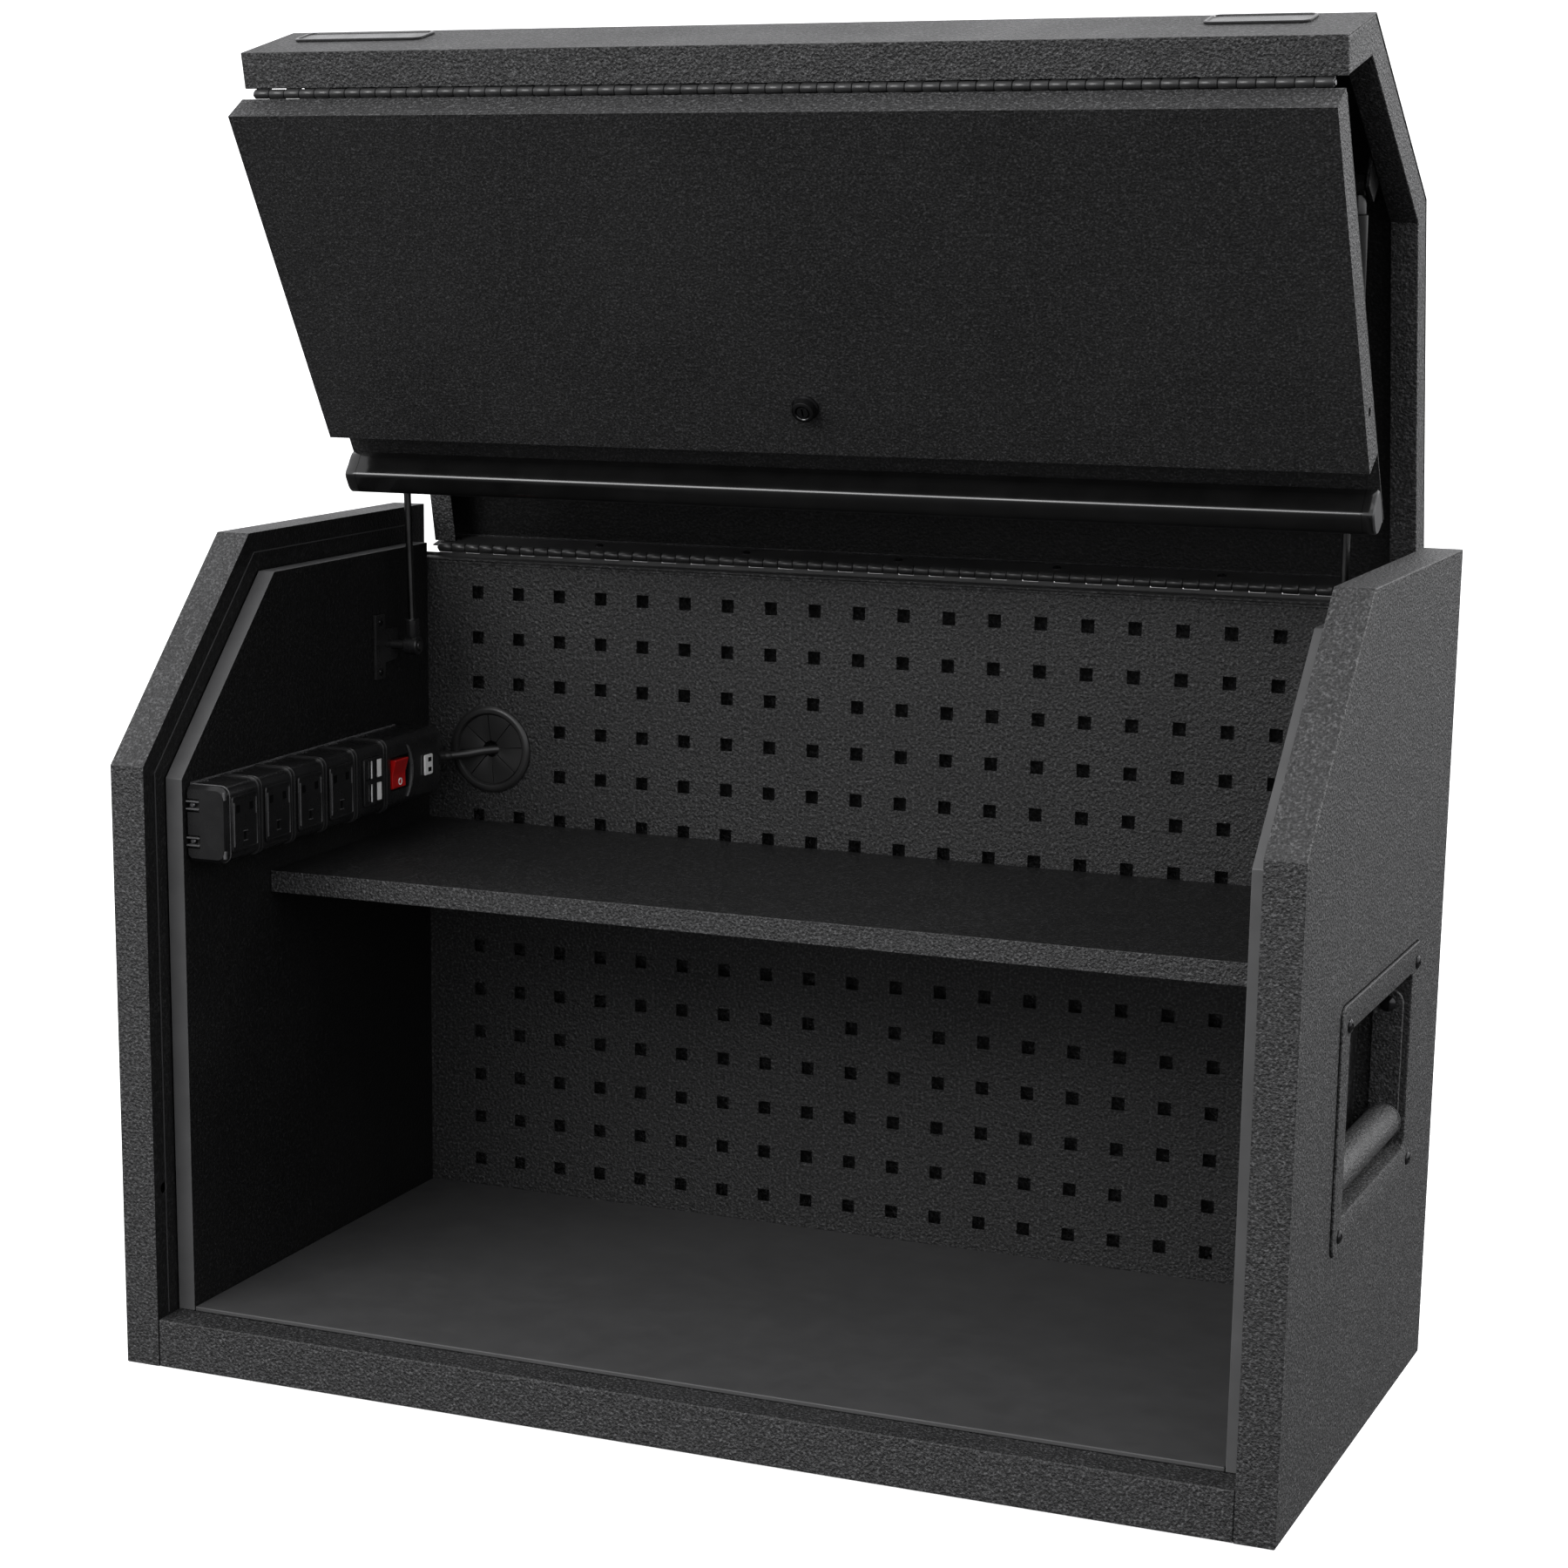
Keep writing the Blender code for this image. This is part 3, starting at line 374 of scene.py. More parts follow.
def softened(node, width, material, heavy=None, heavy_width=None, second=None, where=None):
    """Stands for a CAD sheet part: the same shape with folded edges, wider where heavy says so.
    Faces that where(centre, normal) picks take the second finish."""
    source = frame["nodes"][node]
    work = bmesh.new()
    work.from_mesh(source.data)
    bmesh.ops.remove_doubles(work, verts=work.verts, dist=0.00002)
    bmesh.ops.dissolve_limit(work, angle_limit=math.radians(0.6), verts=work.verts, edges=work.edges)
    weights = work.edges.layers.float.new("bevel_weight_edge")
    largest = heavy_width or width
    for edge in work.edges:
        if len(edge.link_faces) == 2 and edge.calc_face_angle() > math.radians(20.0):
            wide = heavy is not None and all(heavy(vert.co) for vert in edge.verts)
            edge[weights] = 1.0 if wide else width / largest
    work.normal_update()
    if second:
        for face in work.faces:
            face.material_index = int(where(face.calc_center_median(), face.normal))
    name = node + "_sheet"
    piece = finish_piece(name, work, material, source["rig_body"], "world", replaces=(node,))
    fold = piece.modifiers.new("fold", "BEVEL")
    fold.width = largest
    fold.segments = 3
    fold.limit_method = "WEIGHT"
    fold.harden_normals = True
    if second:
        piece.data.materials.append(second)
    return piece


def inward(centre, normal):
    """Picks the faces of a wall that look towards the chest's middle, which take painted shade."""
    return abs(normal.x) > 0.7 and centre.x * normal.x < 0


def repaint(material, *nodes):
    """A CAD node that keeps its shape takes the finish of the scene."""
    for node in nodes:
        for slot in frame["nodes"][node].material_slots:
            slot.material = material


def cut_mesh(mesh, work):
    """A new mesh: the first one less the shape drawn in the bmesh, in the same coordinates."""
    bmesh.ops.recalc_face_normals(work, faces=work.faces)
    tool = bpy.data.meshes.new("tool")
    work.to_mesh(tool)
    work.free()
    whole, cutter = (bpy.data.objects.new(shape.name, shape) for shape in (mesh, tool))
    for thing in (whole, cutter):
        bpy.context.scene.collection.objects.link(thing)
    whole.modifiers.new("cut", "BOOLEAN").object = cutter
    bpy.context.view_layer.update()
    made = bpy.data.meshes.new_from_object(whole.evaluated_get(bpy.context.evaluated_depsgraph_get()))
    for thing in (whole, cutter):
        bpy.data.objects.remove(thing)
    return made


def carve(piece, work):
    """Cuts a piece with a shape drawn in the same coordinates."""
    made = cut_mesh(piece.data, work)
    made.name = piece.name
    made.shade_smooth()
    made.set_sharp_from_angle(angle=math.radians(38.0))
    piece.data = made


# Camera, floor and light

SKY = [(0.0, grey(0.04)), (0.46, grey(0.12)), (0.52, grey(0.8)), (0.75, grey(0.9)), (1.0, grey(0.45))]
SKY_STRENGTH = 1.5
FLOOR_GLOW = 0.55
FLOOR_HALF = 9.0
FLOOR_DROP = 0.0005
BACKDROP_START = 2.6
BACKDROP_RADIUS = 1.5
BACKDROP_TOP = 6.0
LIGHTS = [                      # name, place, what it faces, sides, power
    ("key", (-1.4, -2.8, 2.3), (0.0, 0.0, 0.5), (2.2, 1.6), 72.0),
    ("right_side", (2.2, 0.9, 2.1), (0.4, 0.0, 0.4), (1.2, 1.2), 66.0),
    ("top", (0.2, 0.3, 3.0), (0.0, 0.0, 0.6), (2.4, 1.6), 10.0),
]


def add_camera():
    azimuth, elevation, roll = (math.radians(angle) for angle in (24.871, 12.679, 0.116))
    level = math.cos(elevation)
    forward = Vector((-math.sin(azimuth) * level, math.cos(azimuth) * level, -math.sin(elevation)))
    facing = forward.to_track_quat("-Z", "Y").to_matrix().to_4x4() @ Matrix.Rotation(roll, 4, "Z")
    data = bpy.data.cameras.new("camera")
    data.sensor_width = 36.0
    data.lens = 79.37
    data.shift_x = 0.1163
    data.shift_y = 0.1179
    data.clip_end = 60.0
    camera = bpy.data.objects.new("camera", data)
    camera.rotation_mode = "QUATERNION"
    camera.rotation_quaternion = facing.to_quaternion()
    camera.location = (0.96309, -2.40584, 0.89419)
    bpy.context.scene.collection.objects.link(camera)
    bpy.context.scene.camera = camera


def add_floor():
    """A white floor that curves up into a backdrop, seen by the camera but not by the chest."""
    paint = plain_finish("floor_paint", (0.9, 0.9, 0.9), (0.85, 0.95), strength=0.02, tint=0.01)
    shader = paint.node_tree.nodes["Principled BSDF"]
    shader.inputs["Emission Color"].default_value = (1.0, 1.0, 1.0, 1.0)
    shader.inputs["Emission Strength"].default_value = FLOOR_GLOW
    profile = [(-FLOOR_HALF, -FLOOR_DROP), (BACKDROP_START, -FLOOR_DROP)]
    for i in range(1, 13):
        angle = math.pi / 2 * i / 12
        height = BACKDROP_RADIUS * (1 - math.cos(angle)) - FLOOR_DROP
        profile.append((BACKDROP_START + BACKDROP_RADIUS * math.sin(angle), height))
    profile.append((BACKDROP_START + BACKDROP_RADIUS, BACKDROP_TOP))
    work = bmesh.new()
    left, right = ([work.verts.new((x, y, z)) for y, z in profile] for x in (-FLOOR_HALF, FLOOR_HALF))
    for i in range(len(profile) - 1):
        work.faces.new((left[i], left[i + 1], right[i + 1], right[i]))
    mesh = bpy.data.meshes.new("floor")
    work.to_mesh(mesh)
    work.free()
    mesh.shade_smooth()
    mesh.materials.append(paint)
    floor = bpy.data.objects.new("floor", mesh)
    bpy.context.scene.collection.objects.link(floor)
    floor.visible_diffuse = False
    floor.visible_glossy = False


def add_sky():
    """A white surround above, dark below, that fades with the height of the direction."""
    world = bpy.data.worlds.new("studio")
    bpy.context.scene.world = world
    world.use_nodes = True
    tree = world.node_tree
    coordinates = tree.nodes.new("ShaderNodeTexCoord")
    parts = tree.nodes.new("ShaderNodeSeparateXYZ")
    tree.links.new(coordinates.outputs["Generated"], parts.inputs["Vector"])
    height = spread(tree, parts.outputs["Z"], 0.0, 1.0, -1.0, 1.0)
    tree.links.new(ramp(tree, height, SKY), tree.nodes["Background"].inputs["Color"])
    tree.nodes["Background"].inputs["Strength"].default_value = SKY_STRENGTH
    bpy.context.scene.view_settings.view_transform = "Standard"


def add_lights():
    for name, spot, aim, size, power in LIGHTS:
        data = bpy.data.lights.new(name, "AREA")
        data.shape = "RECTANGLE"
        data.size, data.size_y = size
        data.energy = power
        light = bpy.data.objects.new(name, data)
        light.location = spot
        light.rotation_mode = "QUATERNION"
        light.rotation_quaternion = (Vector(aim) - Vector(spot)).to_track_quat("-Z", "Y")
        bpy.context.scene.collection.objects.link(light)


# The mains cord: one lead from the strip, through both panels, down the back, coiled, to its plug

CORD_ROUTE = [
    (-0.393, 0.3887, 0.425), (-0.3925, 0.398, 0.4246), (-0.386, 0.411, 0.4238), (-0.372, 0.422, 0.425),
    (-0.355, 0.4308, 0.428), (-0.338, 0.4395, 0.4295), (-0.321, 0.4485, 0.429), (-0.305, 0.4575, 0.4255),
    (-0.293, 0.4645, 0.415), (-0.286, 0.468, 0.399), (-0.284, 0.469, 0.378), (-0.284, 0.469, 0.32),
    (-0.284, 0.469, 0.25), (-0.284, 0.469, 0.18), (-0.284, 0.469, 0.115), (-0.2838, 0.469, 0.06),
    (-0.279, 0.469, 0.033), (-0.268, 0.469, 0.015), (-0.252, 0.469, 0.0052), (-0.2325, 0.469, 0.0039),
]
CORD_TAIL = [
    (-0.1665, 0.478, 0.0111), (-0.154, 0.483, 0.0111), (-0.143, 0.489, 0.0112), (-0.132, 0.495, 0.0114),
    (-0.123, 0.4992, 0.0115), (-0.1142, 0.5, 0.0115),
]
COIL_TURNS = 5.21
COIL_STEPS = 36                 # points for each turn


PLUG_PINS = [                   # place along and across the plug, half sizes, top
    (-0.008, 0.0, 0.004, 0.002, 0.0438),
    (0.01, -0.011, 0.002, 0.0031, 0.0388),
    (0.01, 0.011, 0.002, 0.0031, 0.0388),
]


def eased(value, start, end):
    """A smooth step from 0 at start to 1 at end."""
    t = min(1.0, max(0.0, (value - start) / (end - start)))
    return t * t * (3 - 2 * t)


def coil_points():
    """Three turns wound inwards on the floor, then back outwards on top of them."""
    pitch = 2 * CORD_RADIUS
    start = math.atan2(CORD_ROUTE[-1][1] - COIL_CENTRE[1], CORD_ROUTE[-1][0] - COIL_CENTRE[0])
    outer = math.dist(CORD_ROUTE[-1][:2], COIL_CENTRE)
    points = []
    for i in range(1, round(COIL_TURNS * COIL_STEPS)):
        t = i / COIL_STEPS
        inwards = sum(eased(t, k, k + 0.35) for k in range(3))
        outwards = eased(t, 3.3, 3.65) + eased(t, 4.3, 4.65) + eased(t, 4.95, COIL_TURNS)
        radius = outer - pitch * (inwards - outwards)
        height = CORD_ROUTE[-1][2] + pitch * eased(t, 2.65, 3.0)
        angle = start + 2 * math.pi * t
        x = COIL_CENTRE[0] + radius * math.cos(angle)
        y = COIL_CENTRE[1] + radius * math.sin(angle)
        points.append((x, y, height))
    return points


def tapered_sleeve(name, line):
    """A ribbed strain relief round the cord, thick at the start of its line."""
    work = bmesh.new()
    loops = []
    for i, point in enumerate(line):
        ahead = line[min(i + 1, len(line) - 1)] - line[max(i - 1, 0)]
        side = ahead.normalized().cross(Vector((0, 0, 1))).normalized()
        rise = side.cross(ahead.normalized())
        radius = 0.0056 - 0.0014 * i / (len(line) - 1) - (0.0005 if i % 3 == 2 else 0.0)
        loops.append([point + side * a + rise * b for a, b in circle((0, 0), radius, 20)])
    skin(work, loops)
    return finish_piece(name, work, RUBBER)


def mains_cord():
    line = smooth_line(CORD_ROUTE)
    line += [Vector(point) for point in coil_points()]
    line += smooth_line(CORD_TAIL)
    data = bpy.data.curves.new("mains_cord", "CURVE")
    data.dimensions = "3D"
    data.bevel_depth = CORD_RADIUS
    data.bevel_resolution = 4
    data.use_fill_caps = True
    spline = data.splines.new("POLY")
    spline.points.add(len(line) - 1)
    for spot, point in zip(spline.points, line):
        spot.co = (point.x, point.y - HALF_DEPTH, point.z, 1.0)
    spline.use_smooth = True
    data.materials.append(RUBBER)
    cord = bpy.data.objects.new("mains_cord", data)
    bpy.context.scene.collection.objects.link(cord)
    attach(cord, "root")
    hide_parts("cord_run", "cord_coil", "cord_tail")

    plug, pins = mains_plug()
    relief = tapered_sleeve("plug_cord_relief", smooth_line(CORD_TAIL)[-18:][::-1])
    tapered_sleeve("strip_cord_relief", smooth_line(CORD_ROUTE)[2:20])


def mains_plug():
    """The plug lies on its face with its three pins up."""
    x, y = PLUG_AT
    one_side = [(-0.025, -0.007), (-0.0235, -0.011), (-0.015, -0.0225), (-0.012, -0.024),
                (0.0215, -0.024), (0.024, -0.0215)]
    outline = one_side + [(a, -b) for a, b in one_side[::-1]]
    levels = ((0.9, 0.0004), (1.0, 0.003), (1.0, 0.019), (0.9, 0.0218))
    work = bmesh.new()
    skin(work, [[(x + a * share, y + b * share, z) for a, b in outline] for share, z in levels])
    plug = finish_piece("plug_body", work, RUBBER, bevel=0.0006, replaces=("mains_plug",))
    work = bmesh.new()
    for a, b, half, wide, top in PLUG_PINS:
        box(work, (x + a - half, y + b - wide, 0.021), (x + a + half, y + b + wide, top))
    return plug, finish_piece("plug_pins_brass", work, STEEL, bevel=0.0005)


# Screws

def screw_mesh(radius, height):
    """A pan head with a cross recess, its flat face on the plane z = 0."""
    work = bmesh.new()
    dome = [(0.0, radius), (height * 0.35, radius), (height * 0.75, radius * 0.8), (height, radius * 0.45)]
    turned(work, (0.0, 0.0), dome, "z", 20)
    head = bpy.data.meshes.new("head")
    work.to_mesh(head)
    work.free()
    recess = bmesh.new()
    arm, wide = radius * 0.62, radius * 0.16
    quarter = [(arm, -wide), (arm, wide), (wide, wide)]
    cross = []
    for _ in range(4):
        cross += quarter
        quarter = [(-b, a) for a, b in quarter]
    prism(recess, cross, height * 0.35, height * 2.0, "z")
    return cut_mesh(head, recess)


def screws(name, spots, facing, radius, body="root", material=SCREW, height=None):
    """Identical screws whose heads stand out along facing, each turned a little differently."""
    head = screw_mesh(radius, height or radius * 0.55)
    work = bmesh.new()
    turn = Vector((0.0, 0.0, 1.0)).rotation_difference(Vector(facing)).to_matrix().to_4x4()
    for i, spot in enumerate(spots):
        part = head.copy()
        part.transform(shift(*spot) @ turn @ Matrix.Rotation(0.7 * i, 4, "Z"))
        work.from_mesh(part)
        bpy.data.meshes.remove(part)
    bpy.data.meshes.remove(head)
    finish_piece(name, work, material, body)


# Carcass

def side_path(inset):
    """Front, slope and top of the side walls' profile, moved in by inset."""
    slope = math.atan2(HEIGHT - FRONT_HEIGHT, SLANT_RUN)
    corner = inset * math.tan(slope / 2)
    return [(inset, FRONT_HEIGHT - corner), (SLANT_RUN + corner, HEIGHT - inset)]


def carcass():
    def outer(co):
        return abs(abs(co.x) - HALF_WIDTH) < 0.0002

    def front(co):
        return abs(co.y + HALF_DEPTH) < 0.0002

    # Front- and up-facing faces of the inner panels, which take painted light.
    def rim(centre, normal):
        return normal.y < -0.3 or normal.z > 0.5

    # The shelf's front edge, which keeps the outer coat while the rest of the shelf takes painted shade.
    def front_edge(centre, normal):
        return normal.y < -0.7 and centre.y < SHELF_FRONT + 0.004

    for side in ("left", "right"):
        # Inward wall faces, the inner panels, the shelf and the pegboard take painted shade; the panels'
        # rims take painted light.
        softened(side + "_side_wall", 0.0006, POWDER, outer, 0.0014, POWDER_PAINTED_SHADE, inward)
        softened(side + "_inner_panel", 0.0007, POWDER_PAINTED_SHADE, second=PANEL_EDGE_LIT, where=rim)
    softened("base_tray", 0.0006, POWDER, front, 0.0014)
    softened("back_panel", 0.0004, POWDER)
    softened("shelf", 0.0009, POWDER_SHELF_SHADE, second=POWDER, where=front_edge)
    softened("pegboard", 0.00025, POWDER_INSIDE_SHADE)
    softened("floor_mat", 0.001, MAT)


def recess_seams():
    """The folded edge along the recess of each side wall, drawn as a thin raised strip whose lighter finish
    is painted highlight.
    """
    depth = 0.015
    wide = 0.0009
    for side, sign in (("left", -1), ("right", 1)):
        work = bmesh.new()
        near = [(depth, 0.04)] + side_path(depth) + [(0.43, HEIGHT - depth)]
        far = [(depth + wide, 0.04)] + side_path(depth + wide) + [(0.43, HEIGHT - depth - wide)]
        prism(work, near + far[::-1], sign * (WALL_INNER - 0.0007), sign * (WALL_INNER - 0.0001))
        finish_piece(side + "_recess_seam", work, RIM)


def back_rail():
    """Folds along the pegboard's top, where it meets the back panel under the rear hinge."""
    half = WALL_INNER - 0.002
    work = bmesh.new()
    for low, high, out in ((0.5862, 0.5882, 0.001), (0.5888, 0.5902, 0.002)):
        box(work, (-half, PEG_FRONT - out, low), (half, PEG_FRONT - 0.0001, high))
    profile = [(PEG_FRONT + 0.0018, 0.5888), (PEG_FRONT + 0.0208, 0.588), (PEG_FRONT + 0.0208, 0.59),
               (PEG_FRONT + 0.0018, 0.5904)]
    prism(work, profile, -half, half)
    # The folds take the darker inside copy of the paint: painted shade.
    finish_piece("back_top_folds", work, POWDER_INSIDE_SHADE, bevel=0.0003)


def grommet():
    """The split rubber grommet in the pegboard: a rolled rim and eight leaves that bow a little."""
    x, z = GROMMET
    edge = GROMMET_RADIUS
    front = PEG_FRONT
    rim = [(front - GAP, edge - 0.0002), (front - 0.0022, edge), (front - 0.0038, edge - 0.0012),
           (front - 0.0045, edge - 0.0034), (front - 0.004, edge - 0.0058), (front - 0.0022, edge - 0.0072),
           (front - 0.0004, edge - 0.0074)]
    work = bmesh.new()
    turned(work, GROMMET, rim, "y", 64, closed=True)
    finish_piece("grommet_rim", work, RUBBER, replaces=("cable_grommet",))
    leaves = 8
    sweep = 2 * math.pi / leaves
    inner, outer = 0.0072, edge - 0.0076
    work = bmesh.new()
    for leaf in range(leaves):
        start = 2 * math.pi * (leaf + 0.12) / leaves
        tilt = 0.0006 + 0.0007 * (leaf % 3)
        loops = []
        for k in range(7):
            share = k / 6
            radius = inner + (outer - inner) * share
            slit = 0.00035 / radius
            depth = front - 0.0016 + tilt * (1 - share) ** 2
            angles = [start + slit + (sweep - 2 * slit) * step / 6 for step in range(7)]
            ring = []
            for angle in angles:
                bow = depth + 0.0004 * math.cos(angle * 3)
                ring.append((x + radius * math.cos(angle), bow, z + radius * math.sin(angle)))
            loops.append(ring + [(a, t + 0.001, b) for a, t, b in ring[::-1]])
        skin(work, loops)
    finish_piece("grommet_iris_leaves", work, RUBBER, bevel=0.0001)


def rear_grommet():
    """The back panel's grommet: a ring, and a membrane stretched from it to the cord."""
    low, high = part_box("rear_cable_grommet")
    centre = ((low.x + high.x) / 2, (low.z + high.z) / 2)
    big = (high.x - low.x) / 2
    rear = low.y + HALF_DEPTH
    ring = [(rear, big), (rear + 0.0012, big), (rear + 0.0022, big - 0.0016), (rear + 0.0018, big - 0.0046),
            (rear, big - 0.006)]
    work = bmesh.new()
    turned(work, centre, ring, "y", 48, closed=True)
    through = (-0.3095, 0.4265)     # where the slanting cord crosses the membrane
    rim = circle(centre, big - 0.005, 48)
    mouth = [(through[0] + 0.0086 * a, through[1] + 0.0042 * b) for a, b in circle((0.0, 0.0), 1.0, 48)]
    membrane = []
    for share in (0.0, 0.5, 1.0):
        depth = rear - 0.0004 + 0.001 * share
        pairs = zip(mouth, rim)
        membrane.append([(a + (c - a) * share, depth, b + (d - b) * share) for (a, b), (c, d) in pairs])
    back = [[(a, t + 0.0007, b) for a, t, b in loop] for loop in membrane[::-1]]
    skin(work, membrane + back, closed=True)
    finish_piece("rear_grommet_ring", work, RUBBER, replaces=("rear_cable_grommet",))


# Hinges

def hinge_leaf(name, which, axis, radius, leaf, tab, body, replaced):
    """One leaf of a piano hinge with its own knuckles, every second one of the row."""
    sense = 1 if which == 0 else -1
    pitch = 2 * HINGE_HALF / KNUCKLES
    edge = 0.0006
    work = bmesh.new()

    def slab(start, end, heights, depths):
        low, high = sorted(sense * height for height in heights)
        box(work, (start, axis[0] + depths[0], axis[1] + low), (end, axis[0] + depths[1], axis[1] + high))

    slab(-HINGE_HALF, HINGE_HALF, *leaf)
    for i in range(which, KNUCKLES, 2):
        start = -HINGE_HALF + i * pitch + 0.0002
        end = start + pitch - 0.0004
        slab(start, end, *tab)
        barrel = [(start, radius - edge), (start + edge, radius), (end - edge, radius), (end, radius - edge)]
        turned(work, axis, barrel, "x", 20)
    finish_piece(name, work, SATIN, body, replaces=(replaced,), smooth=50.0)


def hinges():
    rear_leaf, rear_tab = ((0.0042, 0.025), (-0.0021, -0.0009)), ((0.0022, 0.0052), (-0.002, -0.001))
    front_leaf, front_tab = ((0.0028, 0.0038), (-0.0208, -0.0037)), ((0.0022, 0.0036), (-0.0045, -0.0008))
    rear = (REAR_AXIS, 0.004, rear_leaf, rear_tab)
    front = (FRONT_AXIS, 0.0035, front_leaf, front_tab)
    hinge_leaf("rear_hinge_lid_leaf", 0, *rear, "lid", "rear_hinge_upper_leaf")
    hinge_leaf("rear_hinge_back_leaf", 1, *rear, "root", "rear_hinge_lower_leaf")
    hinge_leaf("front_hinge_lid_leaf", 0, *front, "lid", "front_hinge_upper_leaf")
    hinge_leaf("front_hinge_door_leaf", 1, *front, "door", "front_hinge_lower_leaf")
    y, z = REAR_AXIS
    spots = [(-0.401 + 0.1337 * i, y - 0.0021, z + 0.016) for i in range(7)]
    screws("rear_hinge_screws", spots, (0, -1, 0), 0.0036, "lid", height=0.0016)
    work = bmesh.new()
    box(work, (-HINGE_HALF, y - 0.001, z - 0.0062), (HINGE_HALF, y + 0.0046, z - 0.0043))
    finish_piece("rear_hinge_ledge", work, SATIN)
    repaint(STEEL, "rear_hinge_pin", "front_hinge_pin")


# Lid

def lid():
    def bends(co):
        return abs(abs(co.x) - LEAF_HALF) < 0.0004

    closed = PLACES["lid"].inverted()
    turn = closed.to_3x3()

    # Faces under the lid's front and behind its slope, which take painted shade.
    def underside(centre, normal):
        spot = closed @ centre
        way = turn @ normal
        return (way.z < -0.3 and spot.z > FRONT_HEIGHT - 0.05) or (way.y > 0.5 and spot.y < SLANT_RUN)

    # The lid skin and cheeks take painted shade on their undersides and inward faces.
    softened("lid_skin", 0.0006, POWDER, second=POWDER_PAINTED_SHADE, where=underside)
    for side in ("left", "right"):
        softened(f"lid_{side}_cheek", 0.0006, POWDER, bends, 0.0012, POWDER_PAINTED_SHADE, inward)


BADGES = {
    "left": ((-0.398, 0.431), (-0.288, 0.461)),
    "right": ((0.309, 0.434), (0.384, 0.464)),
}


def blank_badges():
    """Plates with a raised border and nothing on them."""
    levels = ((0.0, 0.0003), (0.0, 0.0014), (0.0006, 0.002), (0.0022, 0.002), (0.0027, 0.0012))
    for side, ((x0, z0), (x1, z1)) in BADGES.items():
        loops = []
        for inset, out in levels:
            ring = rounded((x0 + inset, z0 + inset), (x1 - inset, z1 - inset), 0.0075 - inset, 6)
            loops.append([(a, -out, b) for a, b in ring])
        work = bmesh.new()
        skin(work, loops)
        name = side + "_blank_badge"
        finish_piece(name, work, PLASTIC, "lid", replaces=(side + "_badge_plate",))


# Front

RAIL = [
    (0.0252, 0.0405), (0.022, 0.0394), (0.016, 0.0388), (0.01, 0.0394), (0.005, 0.0418),
    (0.0027, 0.0465), (0.0025, 0.056), (0.0031, 0.0594), (0.0052, 0.0614), (0.011, 0.0636),
    (0.0252, 0.067),
]
RAIL_MIDDLE = Vector((0.0145, 0.0525))
RAIL_END = LEAF_HALF - 0.0095


def front_panel():
    closed = PLACES["door"].inverted()
    turn = closed.to_3x3()

    def face(co):
        return (closed @ co).y < 0.0002

    # Side faces of the pan, which keep the outer coat while the face takes painted shade.
    def sides(centre, normal):
        return abs((turn @ normal).y) < 0.5

    # The pan's face and the back sheet take painted shade.
    softened("door_pan", 0.0005, POWDER_FRONT_SHADE, face, 0.0014, POWDER, sides)
    softened("door_back_sheet", 0.0004, POWDER_FRONT_SHADE)


def handle_rail():
    """The rolled rail across the front's foot and its end caps, whose outer ends are matt."""
    outline = smooth_loop(RAIL, 5)
    work = bmesh.new()
    prism(work, outline, -RAIL_END + GAP, RAIL_END - GAP)
    finish_piece("handle_rail_tube", work, GLOSS, "door", replaces=("handle_rail",))
    small = [tuple(RAIL_MIDDLE + (Vector(point) - RAIL_MIDDLE) * 0.93) for point in outline]
    ends = ((outline, RAIL_END), (outline, LEAF_HALF - 0.0016), (small, LEAF_HALF - GAP))
    for side, sign in (("left", -1), ("right", 1)):
        work = bmesh.new()
        skin(work, [[(sign * t, a, b) for a, b in ring] for ring, t in ends])
        name = f"handle_{side}_cap"
        cap = finish_piece(name + "_moulded", work, GLOSS, "door", replaces=(name,))
        cap.data.materials.append(RIM)
        for polygon in cap.data.polygons:
            outer = abs(polygon.normal.x) > 0.4 and abs(polygon.center.x) > RAIL_END + 0.001
            polygon.material_index = int(outer)
    spots = [(sign * (LEAF_HALF - 0.0155), 0.015, 0.0384) for sign in (-1, 1)]
    screws("handle_screws", spots, (0, 0, -1), 0.0022, "door", STEEL)


def lock():
    centre = (0.0, LOCK_HEIGHT)
    ring = [(-0.0003, 0.0105), (-0.0012, 0.0105), (-0.002, 0.0092), (-0.0078, 0.0086), (-0.0084, 0.0078),
            (-0.0084, 0.006), (-0.0078, 0.0055), (0.015, 0.0055), (0.015, 0.0076), (-0.0003, 0.0076)]
    work = bmesh.new()
    turned(work, centre, ring, "y", 48, closed=True)
    finish_piece("lock_collar", work, SCREW, "door", replaces=("lock_housing",))
    plug = [(0.012, 0.0048), (-0.0074, 0.0048), (-0.008, 0.0044), (-0.008, 0.003)]
    work = bmesh.new()
    turned(work, centre, plug, "y", 32)
    core = finish_piece("lock_core", work, SCREW, "lock", "door")
    keyway = bmesh.new()
    box(keyway, (-0.0007, -0.01, LOCK_HEIGHT - 0.0034), (0.0007, 0.002, LOCK_HEIGHT + 0.0034))
    carve(core, keyway)
    repaint(SCREW, "lock_plug")
    repaint(STEEL, "left_lock_bolt", "right_lock_bolt")


# Struts

def end_fitting(name, body, place, at, sense, bore):
    """The moulded ball socket at a strut's end: a boss round the stud and a neck to the shaft."""
    width = 0.0062
    boss = [(-width, bore), (-width, 0.007), (-width + 0.001, 0.008), (width - 0.001, 0.008),
            (width, 0.007), (width, bore)]
    neck = [(0.007, 0.005), (0.0105, 0.006), (0.0215, 0.006), (0.0225, 0.0052)]
    work = bmesh.new()
    turned(work, (0.0, at), boss, "x", 28, closed=True)
    turned(work, (0.0, 0.0), [(at + sense * t, radius) for t, radius in neck], "z", 28)
    finish_piece(name, work, PLASTIC, body, place)


